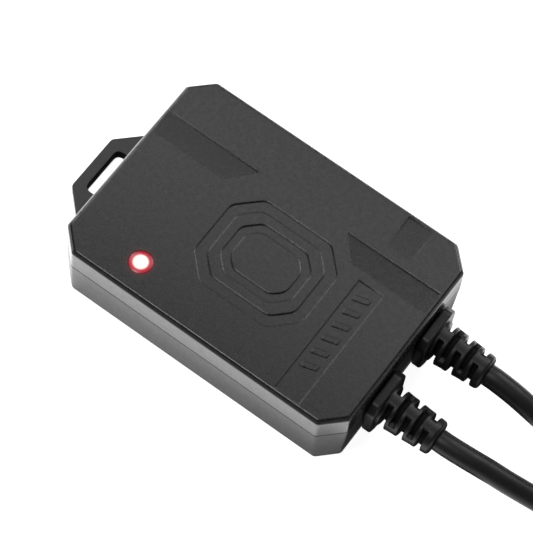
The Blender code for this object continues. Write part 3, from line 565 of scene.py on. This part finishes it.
def laminate(name, mask, track):
    """Circuit board: solder mask over a net of tracks, which show as paler lines."""
    recipe = Recipe(name, 0.35)
    bricks = recipe.node("ShaderNodeTexBrick")
    settings = {"Color1": (*mask, 1.0), "Color2": (*[c * 1.25 for c in mask], 1.0),
                "Mortar": (*track, 1.0), "Scale": 1.0, "Mortar Size": 0.09, "Brick Width": 3.1,
                "Row Height": 0.9}
    for socket, value in settings.items():
        bricks.inputs[socket].default_value = value
    recipe.link(recipe.coordinates, bricks.inputs["Vector"])
    recipe.link(bricks.outputs["Color"], recipe.shader.inputs["Base Color"])
    recipe.grain(0.5, 0.006, rough=(0.28, 0.45))
    return recipe.material


def lamp_glow(recipe, stops):
    """Emission by distance from the middle of the lamp's face, with depth counting half."""
    shift = recipe.node("ShaderNodeMapping")
    shift.inputs["Location"].default_value = (-LAMP_AT[0], -LAMP_AT[1], -0.5 * CASE_HEIGHT)
    shift.inputs["Scale"].default_value = (1.0, 1.0, 0.5)
    recipe.link(recipe.coordinates, shift.inputs["Vector"])
    span = stops[-1][0]
    share = recipe.span(recipe.length(shift.outputs["Vector"]), 0.0, 1.0, 0.0, span)
    colour = recipe.ramp(share, [(at / span, rgb) for at, rgb in stops])
    recipe.link(colour, recipe.shader.inputs["Emission Color"])


def lamp_lens():
    """Clear red lens lit from below: a white core that falls off through red to a dark rim."""
    recipe = Recipe("lamp_lens", 0.3, Emission_Strength=1.0)
    recipe.mottle((0.05, 0.003, 0.005), 0.8, 0.15)
    recipe.grain(0.4, 0.004, rough=(0.25, 0.36))
    lamp_glow(recipe, LAMP_STOPS)
    return recipe.material


def cover_plastic():
    """The lid's satin plastic, with a painted red glow on it beside the lens, where the lamp's light
    would spill.
    """
    recipe = Recipe("cover_plastic", 0.28, Emission_Strength=1.0)
    recipe.mottle((0.0085, 0.0085, 0.0088), 1.0, 0.35)
    recipe.grain(0.45, 0.015, rough=(0.23, 0.31))
    # Painted glow: the lamp's red painted onto the lid beside the lens.
    lamp_glow(recipe, PAINTED_GLOW_STOPS)
    return recipe.material


def boot_rubber():
    """Satin rubber; the floors of the sleeve's slots have painted shade, so they are darker than its
    rings, and they are duller too.
    """
    recipe = Recipe("boot_rubber", 0.4, Specular_IOR_Level=0.25)
    shift = recipe.node("ShaderNodeMapping")
    shift.inputs["Location"].default_value = (0.0, -LEAD_Y, -LEAD_Z)
    shift.inputs["Scale"].default_value = (0.0, 1.0, 1.0)
    recipe.link(recipe.mirrored(), shift.inputs["Vector"])
    outside = recipe.span(recipe.length(shift.outputs["Vector"]), 0.0, 1.0, *SLOT_SHADE)
    skin = recipe.patches(2.0, (0.006, 0.006, 0.006), (0.011, 0.011, 0.011))
    # Painted shade: the rubber's colour is scaled toward black inside the slots.
    slot_shaded_skin = recipe.node("ShaderNodeVectorMath", operation="SCALE")
    recipe.link(skin, slot_shaded_skin.inputs[0])
    recipe.link(outside, slot_shaded_skin.inputs["Scale"])
    recipe.link(slot_shaded_skin.outputs["Vector"], recipe.shader.inputs["Base Color"])
    recipe.grain(0.35, 0.014)
    recipe.link(recipe.span(outside, 0.95, 0.4, 0.0, 1.0), recipe.shader.inputs["Roughness"])
    return recipe.material


def make_materials():
    """Every material by its key. Plastics and metals give colour, then low and high roughness; after
    these, plastics have the size and height of their grain, and metals its stretch, size and height."""
    shelf = {
        "cover": cover_plastic(),
        "base": plastic("base_plastic", (0.016, 0.016, 0.0163), (0.36, 0.44), 0.45, 0.014, patch=1.0,
                        Specular_IOR_Level=0.43),
        "boot": boot_rubber(),
        "jacket": plastic("lead_jacket", (0.01, 0.01, 0.01), (0.4, 0.48), 0.35, 0.006, patch=6.0,
                          Specular_IOR_Level=0.24),
        "rubber": plastic("black_rubber", (0.02, 0.02, 0.02), (0.55, 0.7), 0.3, 0.01),
        "overmould": plastic("overmould", (0.02, 0.02, 0.021), (0.42, 0.52), 0.25, 0.012),
        "carrier": plastic("contact_carrier", (0.04, 0.04, 0.042), (0.32, 0.42), 0.2, 0.006),
        "chip": plastic("chip_epoxy", (0.022, 0.022, 0.024), (0.45, 0.6), 0.12, 0.01),
        "ferrite": plastic("ferrite", (0.055, 0.05, 0.046), (0.7, 0.85), 0.25, 0.03, spread=0.35,
                           patch=0.6),
        "ceramic": plastic("pale_ceramic", (0.72, 0.7, 0.63), (0.42, 0.55), 0.15, 0.008, spread=0.06),
        "diode": plastic("diode_resin", (0.85, 0.82, 0.72), (0.25, 0.35), 0.4, 0.004, spread=0.08),
        "steel": metal("zinc_steel", (0.6, 0.6, 0.57), (0.28, 0.42)),
        "tin": metal("tinned_steel", (0.7, 0.7, 0.68), (0.24, 0.36), (8.0, 1.0, 1.0)),
        "can": metal("capacitor_can", (0.78, 0.78, 0.8), (0.22, 0.32), (1.0, 1.0, 8.0)),
        "contact": metal("gold_contact", (0.83, 0.6, 0.24), (0.18, 0.28), (6.0, 1.0, 1.0), 0.05, 0.002),
        "nut": metal("nickel_nut", (0.3, 0.295, 0.28), (0.34, 0.46), (1.0, 1.0, 1.0), 0.1, 0.004),
        "board": laminate("board_laminate", (0.012, 0.11, 0.04), (0.03, 0.2, 0.07)),
        "module": laminate("module_laminate", (0.02, 0.035, 0.12), (0.05, 0.09, 0.24)),
        "lamp": lamp_lens(),
    }
    for colour, rgb in WIRE_COLOURS.items():
        shelf["wire_" + colour] = plastic("wire_" + colour, rgb, (0.3, 0.42), 0.3, 0.004, spread=0.08)
    return shelf


# Which material each CAD node that stays visible takes, by a word in its name.
NODE_FINISHES = (
    ("shield_can", "tin"), ("crystal", "tin"), ("module_board", "module"), ("antenna", "ceramic"),
    ("fuse", "ceramic"), ("screw", "steel"), ("circuit_board", "board"), ("transistor", "chip"),
    ("regulator", "chip"), ("microcontroller", "chip"), ("surge_diode", "chip"), ("choke", "ferrite"),
    ("capacitor", "can"), ("status_led", "diode"), ("gasket", "rubber"),
    *(("wire_" + colour,) * 2 for colour in WIRE_COLOURS))


def dress_nodes(m):
    for name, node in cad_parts.items():
        for word, finish in NODE_FINISHES:
            if word in name:
                node.data.materials.clear()
                node.data.materials.append(m[finish])
                break


# ---- camera

def add_camera():
    data = bpy.data.cameras.new("camera")
    data.sensor_width = CAMERA_SENSOR
    data.lens = CAMERA_LENS
    data.clip_start, data.clip_end = CAMERA_CLIP
    camera = bpy.data.objects.new("camera", data)
    bpy.context.scene.collection.objects.link(camera)
    columns = (Vector(CAMERA_RIGHT), -Vector(CAMERA_DOWN), -Vector(CAMERA_AHEAD))
    turn = Matrix(columns).transposed().to_4x4()
    camera.matrix_world = Matrix.Translation(CAMERA_AT) @ turn
    bpy.context.scene.camera = camera


# ---- leads and plugs

def catmull_rom(points, steps):
    """A smooth line through all the points, with steps stretches from each to the next."""
    route = [Vector(p) for p in points]
    route = [route[0] * 2 - route[1]] + route + [route[-1] * 2 - route[-2]]
    fine = []
    for a, b, c, d in zip(route, route[1:], route[2:], route[3:]):
        for k in range(steps):
            t = k / steps
            fine.append(0.5 * ((2 * b) + (c - a) * t + (2 * a - 5 * b + 4 * c - d) * t * t
                               + (3 * b - a - 3 * c + d) * t ** 3))
    fine.append(route[-2])
    return fine


def add_lead(prefix, route, material):
    """Round jacket along a route, in place of the CAD lead."""
    fine = catmull_rom(route, LEAD_STEPS)
    curve = bpy.data.curves.new(prefix + "_lead_jacket", "CURVE")
    curve.dimensions = "3D"
    curve.bevel_depth = LEAD_RADIUS * MM
    curve.bevel_resolution = LEAD_ROUNDNESS
    curve.use_fill_caps = True
    spline = curve.splines.new("POLY")
    spline.points.add(len(fine) - 1)
    for target, p in zip(spline.points, fine):
        target.co = (*(p * MM), 1.0)
    spline.use_smooth = True
    item = bpy.data.objects.new(prefix + "_lead_jacket", curve)
    bpy.context.scene.collection.objects.link(item)
    curve.materials.append(material)
    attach(item, BODY)
    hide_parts(prefix + "_lead")


def grip_radius(along, angle, radius):
    """Long finger grooves with round ends in the grip's thick stretch."""
    if not GRIP_SPAN[0] < along < GRIP_SPAN[1]:
        return radius
    pitch = 2.0 * math.pi / GRIP_COUNT
    across = abs((angle + pitch / 2.0) % pitch - pitch / 2.0) * GRIP_RADIUS
    beyond = max(0.0, abs(along - GRIP_MIDDLE) - GRIP_HALF_LENGTH)
    depth = GRIP_DEPTH * (1.0 - min(1.0, math.hypot(across, beyond) / GRIP_HALF_WIDTH) ** 2)
    return radius - max(0.0, depth)


def add_grip(prefix, place, m):
    """Overmoulded body of a plug, with the shroud that its nut turns on."""
    line = dense(soften(BODY_LINE, BODY_ROUNDS, closed=False), BODY_SPACING)
    grip = turned(prefix + "_plug_grip", line, place, GRIP_TURN, radius_at=grip_radius)
    return dress(grip, m["overmould"], "overmould", prefix + "_plug_body")


def add_insert(prefix, kind, spots, place, m):
    """Round insert in the shroud, with a blind or open socket at each spot."""
    front = INSERT_FRONT[kind]
    line = soften([(INSERT_BACK, INSERT_CAP_RADIUS), (INSERT_BACK, INSERT_RADIUS), (front, INSERT_RADIUS),
                   (front, INSERT_CAP_RADIUS)], INSERT_ROUNDS, closed=False)
    insert = turned(prefix + "_carrier_insert", line, place, LARGE_TURN)

    def sockets(bm):
        throat, mouth = (front + step for step in SOCKET_MOUTH)
        hole = [(SOCKET_FLOOR[kind], SOCKET_RADIUS), (throat, SOCKET_RADIUS),
                (mouth, SOCKET_MOUTH_RADIUS), (SOCKET_END, SOCKET_MOUTH_RADIUS)]
        for a, b in spots:
            add_turned(bm, hole, place @ Matrix.Translation((0.0, a, b)), SMALL_TURN)

    shape_with(insert, [("DIFFERENCE", sockets)])
    return dress(insert, m["carrier"], "contact_carrier", prefix + "_contact_carrier")


def add_contacts(prefix, kind, spots, place, m):
    """Gilt pins, which are solid, or contacts, which are tubes."""
    tubes = kind == "contact"
    if tubes:
        line = soften(CONTACT_LINE, CONTACT_ROUND, SHORT_ARC)
    else:
        line = soften(PIN_LINE, PIN_ROUNDS, closed=False)
    made = []
    for k, (a, b) in enumerate(spots, 1):
        spot = place @ Matrix.Translation((0.0, a, b))
        contact = turned("%s_gilt_%s_%d" % (prefix, kind, k), line, spot, SMALL_TURN,
                         looped=tubes)
        made.append(dress(contact, m["contact"], "gold_contact", "%s_%s_%d" % (prefix, kind, k)))
    return made


def add_seal(prefix, place, m):
    line = soften(SEAL_LINE, SEAL_ROUND)[::-1]
    seal = turned(prefix + "_seal_ring", line, place, SEAL_TURN, looped=True)
    return dress(seal, m["rubber"], "black_rubber", prefix + "_plug_seal")


def flute_radius(along, angle, radius):
    """Narrow flutes round the nut's thick stretch, with round ends."""
    low, high = FLUTE_SPAN
    if radius < FLUTED_ABOVE or not low < along < high:
        return radius
    fade = min(1.0, (along - low) / FLUTE_FADE, (high - along) / FLUTE_FADE)
    wave = abs(math.sin(FLUTE_COUNT * angle / 2.0))
    return radius - FLUTE_DEPTH * fade * (1.0 - wave) ** FLUTE_SHARPNESS


def add_nut(prefix, place, m):
    """Coupling nut: fluted grip, a smooth collar and two rings inside for the thread."""
    line = dense(soften(NUT_LINE, NUT_ROUNDS, SHORT_ARC), NUT_SPACING)
    nut = turned(prefix + "_knurled_nut", line, place, FLUTE_COUNT * TURN_PER_FLUTE, looped=True,
                 radius_at=flute_radius)
    return dress(nut, m["nut"], "nickel_nut", prefix + "_coupling_nut", prefix + "_nut")


def add_plug(prefix, kind, spots, m):
    """Round plug pointing back along X. Returns its pieces."""
    at = Matrix.Translation((PLUG_REAR_X, PLUG_Y[prefix], PLUG_Z))
    place = at @ Matrix.Rotation(math.pi, 4, "Z")
    return [add_grip(prefix, place, m), add_insert(prefix, kind, spots, place, m),
            *add_contacts(prefix, kind, spots, place, m), add_seal(prefix, place, m),
            add_nut(prefix, place, m)]


def ring_of_contacts(count, radius, start):
    angles = [math.radians(start + 360.0 * k / count) for k in range(count)]
    return [(radius * math.cos(a), radius * math.sin(a)) for a in angles]


def add_leads_and_plugs(m):
    power = add_plug("power", "pin", ring_of_contacts(*PIN_RING), m)
    output = add_plug("output", "contact", ring_of_contacts(*CONTACT_RING) + MIDDLE, m)
    add_lead("power", POWER_ROUTE, m["jacket"])
    add_lead("output", OUTPUT_ROUTE, m["jacket"])


# ---- boots

def boot_radius(along):
    """The sleeve's outer radius: a slow taper, rounded off at the free end."""
    share = (along - BOOT_START) / (BOOT_END - BOOT_START)
    radius = BOOT_FIRST_RADIUS + (BOOT_LAST_RADIUS - BOOT_FIRST_RADIUS) * share
    closing = max(0.0, (along - (BOOT_END - BOOT_END_ROUND)) / BOOT_END_ROUND)
    return radius - BOOT_END_ROUND * (1.0 - math.sqrt(max(0.0, 1.0 - closing * closing)))


def sleeve_radius(along, angle, radius):
    """Rings and webs stand up from the core, with edges rounded toward the slots."""
    nearest = NO_SLOT_NEAR
    for x0, x1, web in BOOT_SLOTS:
        beyond = max(x0 - along, along - x1, SLOT_MIDDLE)
        half_span = math.radians(90.0 - WEB_HALF_ANGLE)
        middle = math.radians(web + 90.0)
        off = abs((angle - middle + math.pi / 2.0) % math.pi - math.pi / 2.0)
        aside = max((off - half_span) * WEB_RADIUS, SLOT_MIDDLE)
        inside = min(0.0, max(beyond, aside))
        apart = math.hypot(max(beyond, 0.0), max(aside, 0.0)) + inside
        nearest = min(nearest, apart)
    if nearest >= SLOT_EDGE:
        return radius
    lift = math.sqrt(max(0.0, 1.0 - (1.0 - max(0.0, nearest) / SLOT_EDGE) ** 2))
    return BOOT_CORE_RADIUS + (radius - BOOT_CORE_RADIUS) * lift


def add_boot(prefix, y, m):
    """Boot in one piece: the plates on both sides of the wall, and the slotted sleeve round the lead."""
    def section(x, half_y, low, high, corner):
        outline = soften(octagon(half_y, (high - low) / 2.0, corner), FLANGE_ROUND)
        return [(x, y + a, (low + high) / 2.0 + b) for a, b in outline]

    def plates(bm):
        rings = [section(*ring) for ring in INNER_RINGS]
        rings += [section(x, half_y, LEAD_Z - half_z, LEAD_Z + half_z, corner)
                  for x, half_y, half_z, corner in PLATE_RINGS]
        add_rings(bm, rings)

    def sleeve(bm):
        length = BOOT_END - BOOT_START
        stations = [BOOT_START + length * k / BOOT_STATIONS for k in range(BOOT_STATIONS + 1)]
        profile = [(x, boot_radius(x)) for x in stations]
        place = Matrix.Translation((0.0, y, LEAD_Z))
        add_turned(bm, profile, place, BOOT_TURN, radius_at=sleeve_radius)

    boot = new_object(prefix + "_boot", plates)
    shape_with(boot, [("UNION", sleeve)])
    dress(boot, m["boot"], "boot_rubber", prefix + "_lead_boot")


# ---- case

def corner_bosses():
    return [(sx * BOSS_X, sy * BOSS_Y) for sx in (-1, 1) for sy in (-1, 1)]


def case_rings(profile, reach):
    """Rings for a profile of (inset in x, inset in y, z) points, on the case's softened outline."""
    rings = []
    for inset_x, inset_y, z in soften(profile, reach, CASE_STEPS, closed=False):
        corner = BASE_CORNER + (CORNER - BASE_CORNER) * min(1.0, max(0.0, z / PARTING))
        outline = soften(case_outline(inset_x, inset_y, corner), OUTLINE_ROUND, CASE_STEPS)
        rings.append(level(outline, z))
    return rings


def add_tray(m):
    """Lower shell with the ear, the corner bosses, the standoffs, the seal groove and the lead slots."""
    flare = -COVER_FLARE
    rim = PARTING - PARTING_GAP / 2.0
    above = PARTING + 2.0 * OVERLAP
    foot_x, foot_y = BASE_TAPER_X + FOOT_BEVEL, BASE_TAPER_Y + FOOT_BEVEL

    def shell(bm):
        profile = [(foot_x + FACE_BORDER, foot_y + FACE_BORDER, 0.0), (foot_x, foot_y, 0.0),
                   (BASE_TAPER_X, BASE_TAPER_Y, FOOT_BEVEL), (flare, flare, rim),
                   (flare + PARTING_BORDER, flare + PARTING_BORDER, rim)]
        add_rings(bm, case_rings(profile, BASE_ROUNDS))

    def posts(bm):
        for x, y in corner_bosses():
            add_prism(bm, circle(x, y, BOSS_RADIUS), FLOOR - OVERLAP, rim)
        for x, y in STANDOFFS:
            add_prism(bm, circle(x, y, STANDOFF_RADIUS), FLOOR - OVERLAP, STANDOFF_TOP)

    def ear(bm):
        root = -CASE_LENGTH / 2.0 + OVERLAP
        spread = EAR_HALF + (root - EAR_TIP)
        outline = [(EAR_TIP, EAR_HALF), (EAR_TIP, -EAR_HALF), (root, -spread), (root, spread)]
        edge = soften(EAR_EDGE, EAR_ROUNDS, closed=False)
        add_rings(bm, [level(soften(grow(outline, -inset), EAR_CORNER_ROUND), z) for inset, z in edge])

    def ear_slot(bm):
        outline = soften(rectangle(*SLOT_X, -SLOT_HALF, SLOT_HALF), SLOT_CORNER, SLOT_ARC)
        add_rings(bm, [level(grow(outline, reach), z) for reach, z in SLOT_ROWS])

    def seal_groove(bm):
        outer = flare + SEAL_INSET - SEAL_PLAY
        inner = flare + SEAL_INSET + SEAL_WIDTH + SEAL_PLAY
        add_band(bm, case_outline(outer), case_outline(inner), PARTING - SEAL_DEPTH, PARTING + OVERLAP)

    def lead_slots(bm):
        end = CASE_LENGTH / 2.0
        for y in (-LEAD_Y, LEAD_Y):
            slot = rectangle(end - LEAD_SLOT_REACH, end + OVERLAP, y - LEAD_SLOT_HALF, y + LEAD_SLOT_HALF)
            add_prism(bm, slot, LEAD_SLOT_LOW, above)

    def head_pockets(bm):
        for x, y in corner_bosses():
            add_prism(bm, circle(x, y, HEAD_POCKET_RADIUS), -OVERLAP, HEAD_POCKET_DEPTH)
        for x, y in STANDOFFS:
            add_prism(bm, circle(x, y, STANDOFF_HOLE_RADIUS, TINY_TURN), FLOOR + STANDOFF_HOLE_FLOOR,
                      STANDOFF_TOP + OVERLAP)

    def screw_holes(bm):
        for x, y in corner_bosses():
            hole = circle(x, y, SCREW_HOLE_RADIUS, SMALL_TURN)
            add_prism(bm, hole, HEAD_POCKET_DEPTH - OVERLAP / 2.0, above)

    def pocket(bm):
        add_prism(bm, case_outline(WALL + flare), FLOOR, above)

    tray = new_object("lower_shell", shell)
    shape_with(tray, [("DIFFERENCE", pocket), ("UNION", posts), ("UNION", ear),
                      ("DIFFERENCE", seal_groove), ("DIFFERENCE", ear_slot), ("DIFFERENCE", lead_slots),
                      ("DIFFERENCE", head_pockets), ("DIFFERENCE", screw_holes)])
    dress(tray, m["base"], "case_plastic", "lower_housing")


def add_recess(bm, corners, depths):
    """Cutter for a recess with a sloped floor; its round rim fades out where the floor comes up flush."""
    shares = [min(1.0, depth / (RIM[0][1] * FULL_RIM)) for depth in depths]
    rings = [[(x, y, CASE_HEIGHT - d) for (x, y), d in zip(corners, depths)]]
    for out, below in RIM:
        wide = grow(corners, out)
        rings.append([(*Vector(p).lerp(w, share), CASE_HEIGHT - below * share)
                      for p, w, share in zip(corners, wide, shares)])
    rings.append([(x, y, CASE_HEIGHT + OVERLAP) for x, y, _ in rings[-1]])
    add_rings(bm, rings)


def add_cover(m):
    """Upper shell with its recessed panels, nested bands, bars, lamp hole and screw bosses."""
    flare = -COVER_FLARE
    rim = PARTING + PARTING_GAP / 2.0
    inside = CASE_HEIGHT - LID
    top = CASE_HEIGHT

    def shell(bm):
        profile = [(flare + PARTING_BORDER, flare + PARTING_BORDER, rim), (flare, flare, rim),
                   (0.0, 0.0, top - TOP_BEVEL_HEIGHT), (TOP_BEVEL, TOP_BEVEL, top),
                   (TOP_BEVEL + FACE_BORDER, TOP_BEVEL + FACE_BORDER, top)]
        add_rings(bm, case_rings(profile, COVER_ROUNDS))

    def pocket(bm):
        add_prism(bm, case_outline(WALL + flare), PARTING - OVERLAP, inside)

    def bosses(bm):
        for x, y in corner_bosses():
            add_prism(bm, circle(x, y, BOSS_RADIUS), rim, inside + OVERLAP)

    def holes(bm):
        hole = circle(*LAMP_AT, LAMP_RADIUS + LAMP_HOLE_PLAY, LARGE_TURN)
        add_prism(bm, hole, inside - OVERLAP, top + OVERLAP)
        for x, y in corner_bosses():
            add_prism(bm, circle(x, y, THREAD_RADIUS, SMALL_TURN), PARTING - OVERLAP, SCREW_TOP)

    def panels(bm):
        for corners, depths in PANELS:
            add_recess(bm, corners, depths)

    def emblem(bm):
        largest = EMBLEM_BANDS[0][0]
        for half_x, half_y, band in EMBLEM_BANDS:
            def outline(inset, z):
                corner = EMBLEM_CORNER * half_x / largest - CORNER_TRIM * inset
                points = soften(octagon(half_x - inset, half_y - inset, corner), EMBLEM_ROUND, LONG_ARC)
                return [(p.x + EMBLEM_AT[0], p.y + EMBLEM_AT[1], z) for p in points]
            rows = [(0.0, top - EMBLEM_DEPTH)]
            rows += [(-out, top - below) for out, below in RIM]
            rows.append((-RIM[-1][0], top + OVERLAP))
            rows += [(band - inset, z) for inset, z in reversed(rows)]
            add_rings(bm, [outline(inset, z) for inset, z in rows], looped=True)

    def bars(bm):
        x0, x1 = BAR_X
        for k in range(BAR_COUNT):
            y = BAR_FIRST_Y + k * BAR_PITCH
            bar = [(x0, y), (x1, y + BAR_SLANT), (x1, y + BAR_SLANT + BAR_WIDTH), (x0, y + BAR_WIDTH)]
            add_rings(bm, [level(soften(grow(bar, out), BAR_ROUND, SHORT_ARC), top - below)
                           for out, below in BAR_SIDES])

    cover = new_object("upper_shell", shell)
    shape_with(cover, [("DIFFERENCE", pocket), ("UNION", bosses), ("DIFFERENCE", holes),
                       ("DIFFERENCE", panels), ("DIFFERENCE", emblem), ("UNION", bars)])
    dress(cover, m["cover"], "case_plastic", "top_cover")


def add_lamp(m):
    """Light pipe: rod, collar under the lid and a domed head that fills the hole."""
    line = soften([(PIPE_FOOT, ON_AXIS), (PIPE_FOOT, PIPE_RADIUS), (COLLAR_LOW, PIPE_RADIUS),
                   (COLLAR_LOW, COLLAR_RADIUS), (COLLAR_HIGH, COLLAR_RADIUS), (COLLAR_HIGH, HEAD_RADIUS),
                   (HEAD_SHOULDER, HEAD_RADIUS)], PIPE_ROUNDS, closed=False)
    for k in range(1, DOME_STEPS + 1):
        angle = math.radians(90.0 * k / DOME_STEPS)
        radius = max(ON_AXIS, HEAD_RADIUS * math.cos(angle))
        line.append(Vector((HEAD_SHOULDER + DOME_RISE * math.sin(angle), radius)))
    place = Matrix.Translation((*LAMP_AT, 0.0)) @ Matrix.Rotation(-math.pi / 2.0, 4, "Y")
    lens = turned("lamp_lens_pipe", line, place, LARGE_TURN)
    dress(lens, m["lamp"], "lamp_lens", "light_pipe")


# ---- studio

# The floor and the world have one brightness for light and reflections, and another as seen directly.
FLOOR_EMISSION = 2.35
FLOOR_SEEN = 0.95
FLOOR_ALBEDO = 0.45
CARD_ALBEDO = 0.02
MATT = 0.9
FLOOR_SIZE = 3.0
# Distance outside the case's outline, and the share of FLOOR_EMISSION there.
FLOOR_GLOW = ((0.0, 1.0), (28.0, 1.0), (55.0, 0.46), (100.0, 0.44), (150.0, 0.04), (240.0, 0.02))
# The paper right beside the case has the case's shade painted into its glow, which is full up to the
# first width and gone at the
# second, and is deeper toward the leads: place along X, and share of the glow that is left.
SHADE_WIDTH = (3.6, 9.0)
SHADE_ALONG_X = ((-46.0, 1.0), (-38.0, 0.38), (0.0, 0.3), (32.0, 0.21), (46.0, 0.15))
WORLD_STRENGTH = 0.1
WORLD_SEEN = 0.97
# Places of a Mix node's colour sockets; the ones for floats and vectors come before them.
MIX_COLOURS = (6, 7)
MIX_RESULT = 2
# Black cards on the floor beside the lead end and under the ear, standing in for the shade there: low and
# high x, low and high y.
SHADE_CARDS = (("end_shade_flag", (45.2, 80.0, -26.0, 20.0)), ("ear_shade_flag", (-57.0, -45.2, -9.0, 9.0)))
CARD_Z = 0.1
# Soft boxes in metres: place, what it points at, size and radiance. The overhead one is what the lid
# mirrors to the camera, and the others draw the light lines along its rims.
MIDDLE_OF_CASE = (0.0, 0.0, 0.01)
SOFT_BOXES = (
    ("overhead", (-0.14, 0.275, 0.6), (-0.14, 0.275, 0.0), (0.9, 0.15), 1.93),
    ("front_strip", (-0.24, -0.336, 1.13), MIDDLE_OF_CASE, (0.3, 0.5), 12.0),
    ("back", (0.22, 0.76, 0.68), MIDDLE_OF_CASE, (0.45, 0.35), 9.0),
    ("left_strip", (-0.735, 0.39, 0.64), MIDDLE_OF_CASE, (0.22, 0.8), 5.0))


def distance_from_case(recipe):
    """Distance outside the case's outline, as seen from above."""
    beyond = recipe.node("ShaderNodeVectorMath", operation="SUBTRACT")
    beyond.inputs[1].default_value = (CASE_LENGTH / 2.0, CASE_WIDTH / 2.0, 0.0)
    recipe.link(recipe.mirrored(), beyond.inputs[0])
    outside = recipe.node("ShaderNodeVectorMath", operation="MAXIMUM")
    outside.inputs[1].default_value = (0.0, 0.0, 0.0)
    recipe.link(beyond.outputs["Vector"], outside.inputs[0])
    return recipe.length(outside.outputs["Vector"])


def grey_ramp(recipe, source, stops):
    """A ramp from (value, grey) stops, over the range of their values."""
    first, last = stops[0][0], stops[-1][0]
    share = recipe.span(source, 0.0, 1.0, first, last)
    return recipe.ramp(share, [((value - first) / (last - first), (grey,) * 3) for value, grey in stops])


def mixed(recipe, factor, first, second, blend="MIX"):
    """Mix two colours. A source is linked, and a plain colour is set."""
    mix = recipe.node("ShaderNodeMix", data_type="RGBA", blend_type=blend)
    recipe.link(factor, mix.inputs["Factor"])
    for index, colour in zip(MIX_COLOURS, (first, second)):
        if isinstance(colour, tuple):
            mix.inputs[index].default_value = colour
        else:
            recipe.link(colour, mix.inputs[index])
    return mix.outputs[MIX_RESULT]


def add_floor():
    """Pale paper that glows like a lit table, with painted shade beside the case, and fading out far
    away.
    """
    floor = new_object("floor", lambda bm: bmesh.ops.create_grid(bm, x_segments=1, y_segments=1,
                                                                 size=FLOOR_SIZE))
    recipe = Recipe("floor_paper", MATT, Emission_Strength=1.0, Specular_IOR_Level=0.0)
    recipe.mottle((FLOOR_ALBEDO,) * 3, 60.0, 0.02)
    distance = distance_from_case(recipe)
    glow = grey_ramp(recipe, distance, FLOOR_GLOW)
    split = recipe.node("ShaderNodeSeparateXYZ")
    recipe.link(recipe.coordinates, split.inputs["Vector"])
    # Painted shade: the glow is multiplied down near the case, more toward the leads.
    shade = grey_ramp(recipe, split.outputs["X"], SHADE_ALONG_X)
    fade = recipe.span(distance, 1.0, 0.0, *SHADE_WIDTH)
    bright = recipe.node("ShaderNodeVectorMath", operation="SCALE")
    bright.inputs["Scale"].default_value = FLOOR_EMISSION
    recipe.link(mixed(recipe, fade, glow, shade, "MULTIPLY"), bright.inputs[0])
    path = recipe.node("ShaderNodeLightPath")
    plain = (FLOOR_SEEN, FLOOR_SEEN, FLOOR_SEEN, 1.0)
    seen = mixed(recipe, path.outputs["Is Camera Ray"], bright.outputs["Vector"], plain)
    recipe.link(seen, recipe.shader.inputs["Emission Color"])
    floor.data.materials.append(recipe.material)


def add_shade_card(name, corners):
    """A black card that keeps the floor's glow off the case, a dark stand-in for shade on the floor; the
    camera doesn't see it.
    """
    card = new_object(name, lambda bm: bm.faces.new([bm.verts.new(Vector((x, y, CARD_Z)) * MM)
                                                     for x, y in corners]))
    recipe = Recipe("shade_card", MATT, Specular_IOR_Level=0.0)
    recipe.mottle((CARD_ALBEDO,) * 3, 5.0, 0.1)
    card.data.materials.append(recipe.material)
    card.visible_camera = False
    card.visible_shadow = False


def add_soft_box(name, at, target, size, radiance):
    """An area light, in metres; radiance is its brightness as seen from the front."""
    data = bpy.data.lights.new(name, "AREA")
    data.shape = "RECTANGLE"
    data.size, data.size_y = size
    data.energy = radiance * math.pi * size[0] * size[1]
    item = bpy.data.objects.new(name, data)
    bpy.context.scene.collection.objects.link(item)
    item.location = at
    item.rotation_mode = "QUATERNION"
    item.rotation_quaternion = (Vector(target) - Vector(at)).to_track_quat("-Z", "Y")
    item.visible_camera = False


def add_world():
    world = bpy.data.worlds.new("studio")
    bpy.context.scene.world = world
    world.use_nodes = True
    nodes, links = world.node_tree.nodes, world.node_tree.links
    back = nodes["Background"]
    back.inputs["Color"].default_value = (1.0, 1.0, 1.0, 1.0)
    path = nodes.new("ShaderNodeLightPath")
    seen = nodes.new("ShaderNodeMapRange")
    seen.inputs["To Min"].default_value = WORLD_STRENGTH
    seen.inputs["To Max"].default_value = WORLD_SEEN
    links.new(path.outputs["Is Camera Ray"], seen.inputs["Value"])
    links.new(seen.outputs["Result"], back.inputs["Strength"])
    bpy.context.scene.view_settings.view_transform = "Standard"


add_camera()
materials = make_materials()
add_leads_and_plugs(materials)
dress_nodes(materials)
add_tray(materials)
add_cover(materials)
add_lamp(materials)
add_boot("power", LEAD_Y, materials)
add_boot("output", -LEAD_Y, materials)
add_floor()
for card_name, card_sides in SHADE_CARDS:
    add_shade_card(card_name, rectangle(*card_sides))
add_world()
for soft_box in SOFT_BOXES:
    add_soft_box(*soft_box)
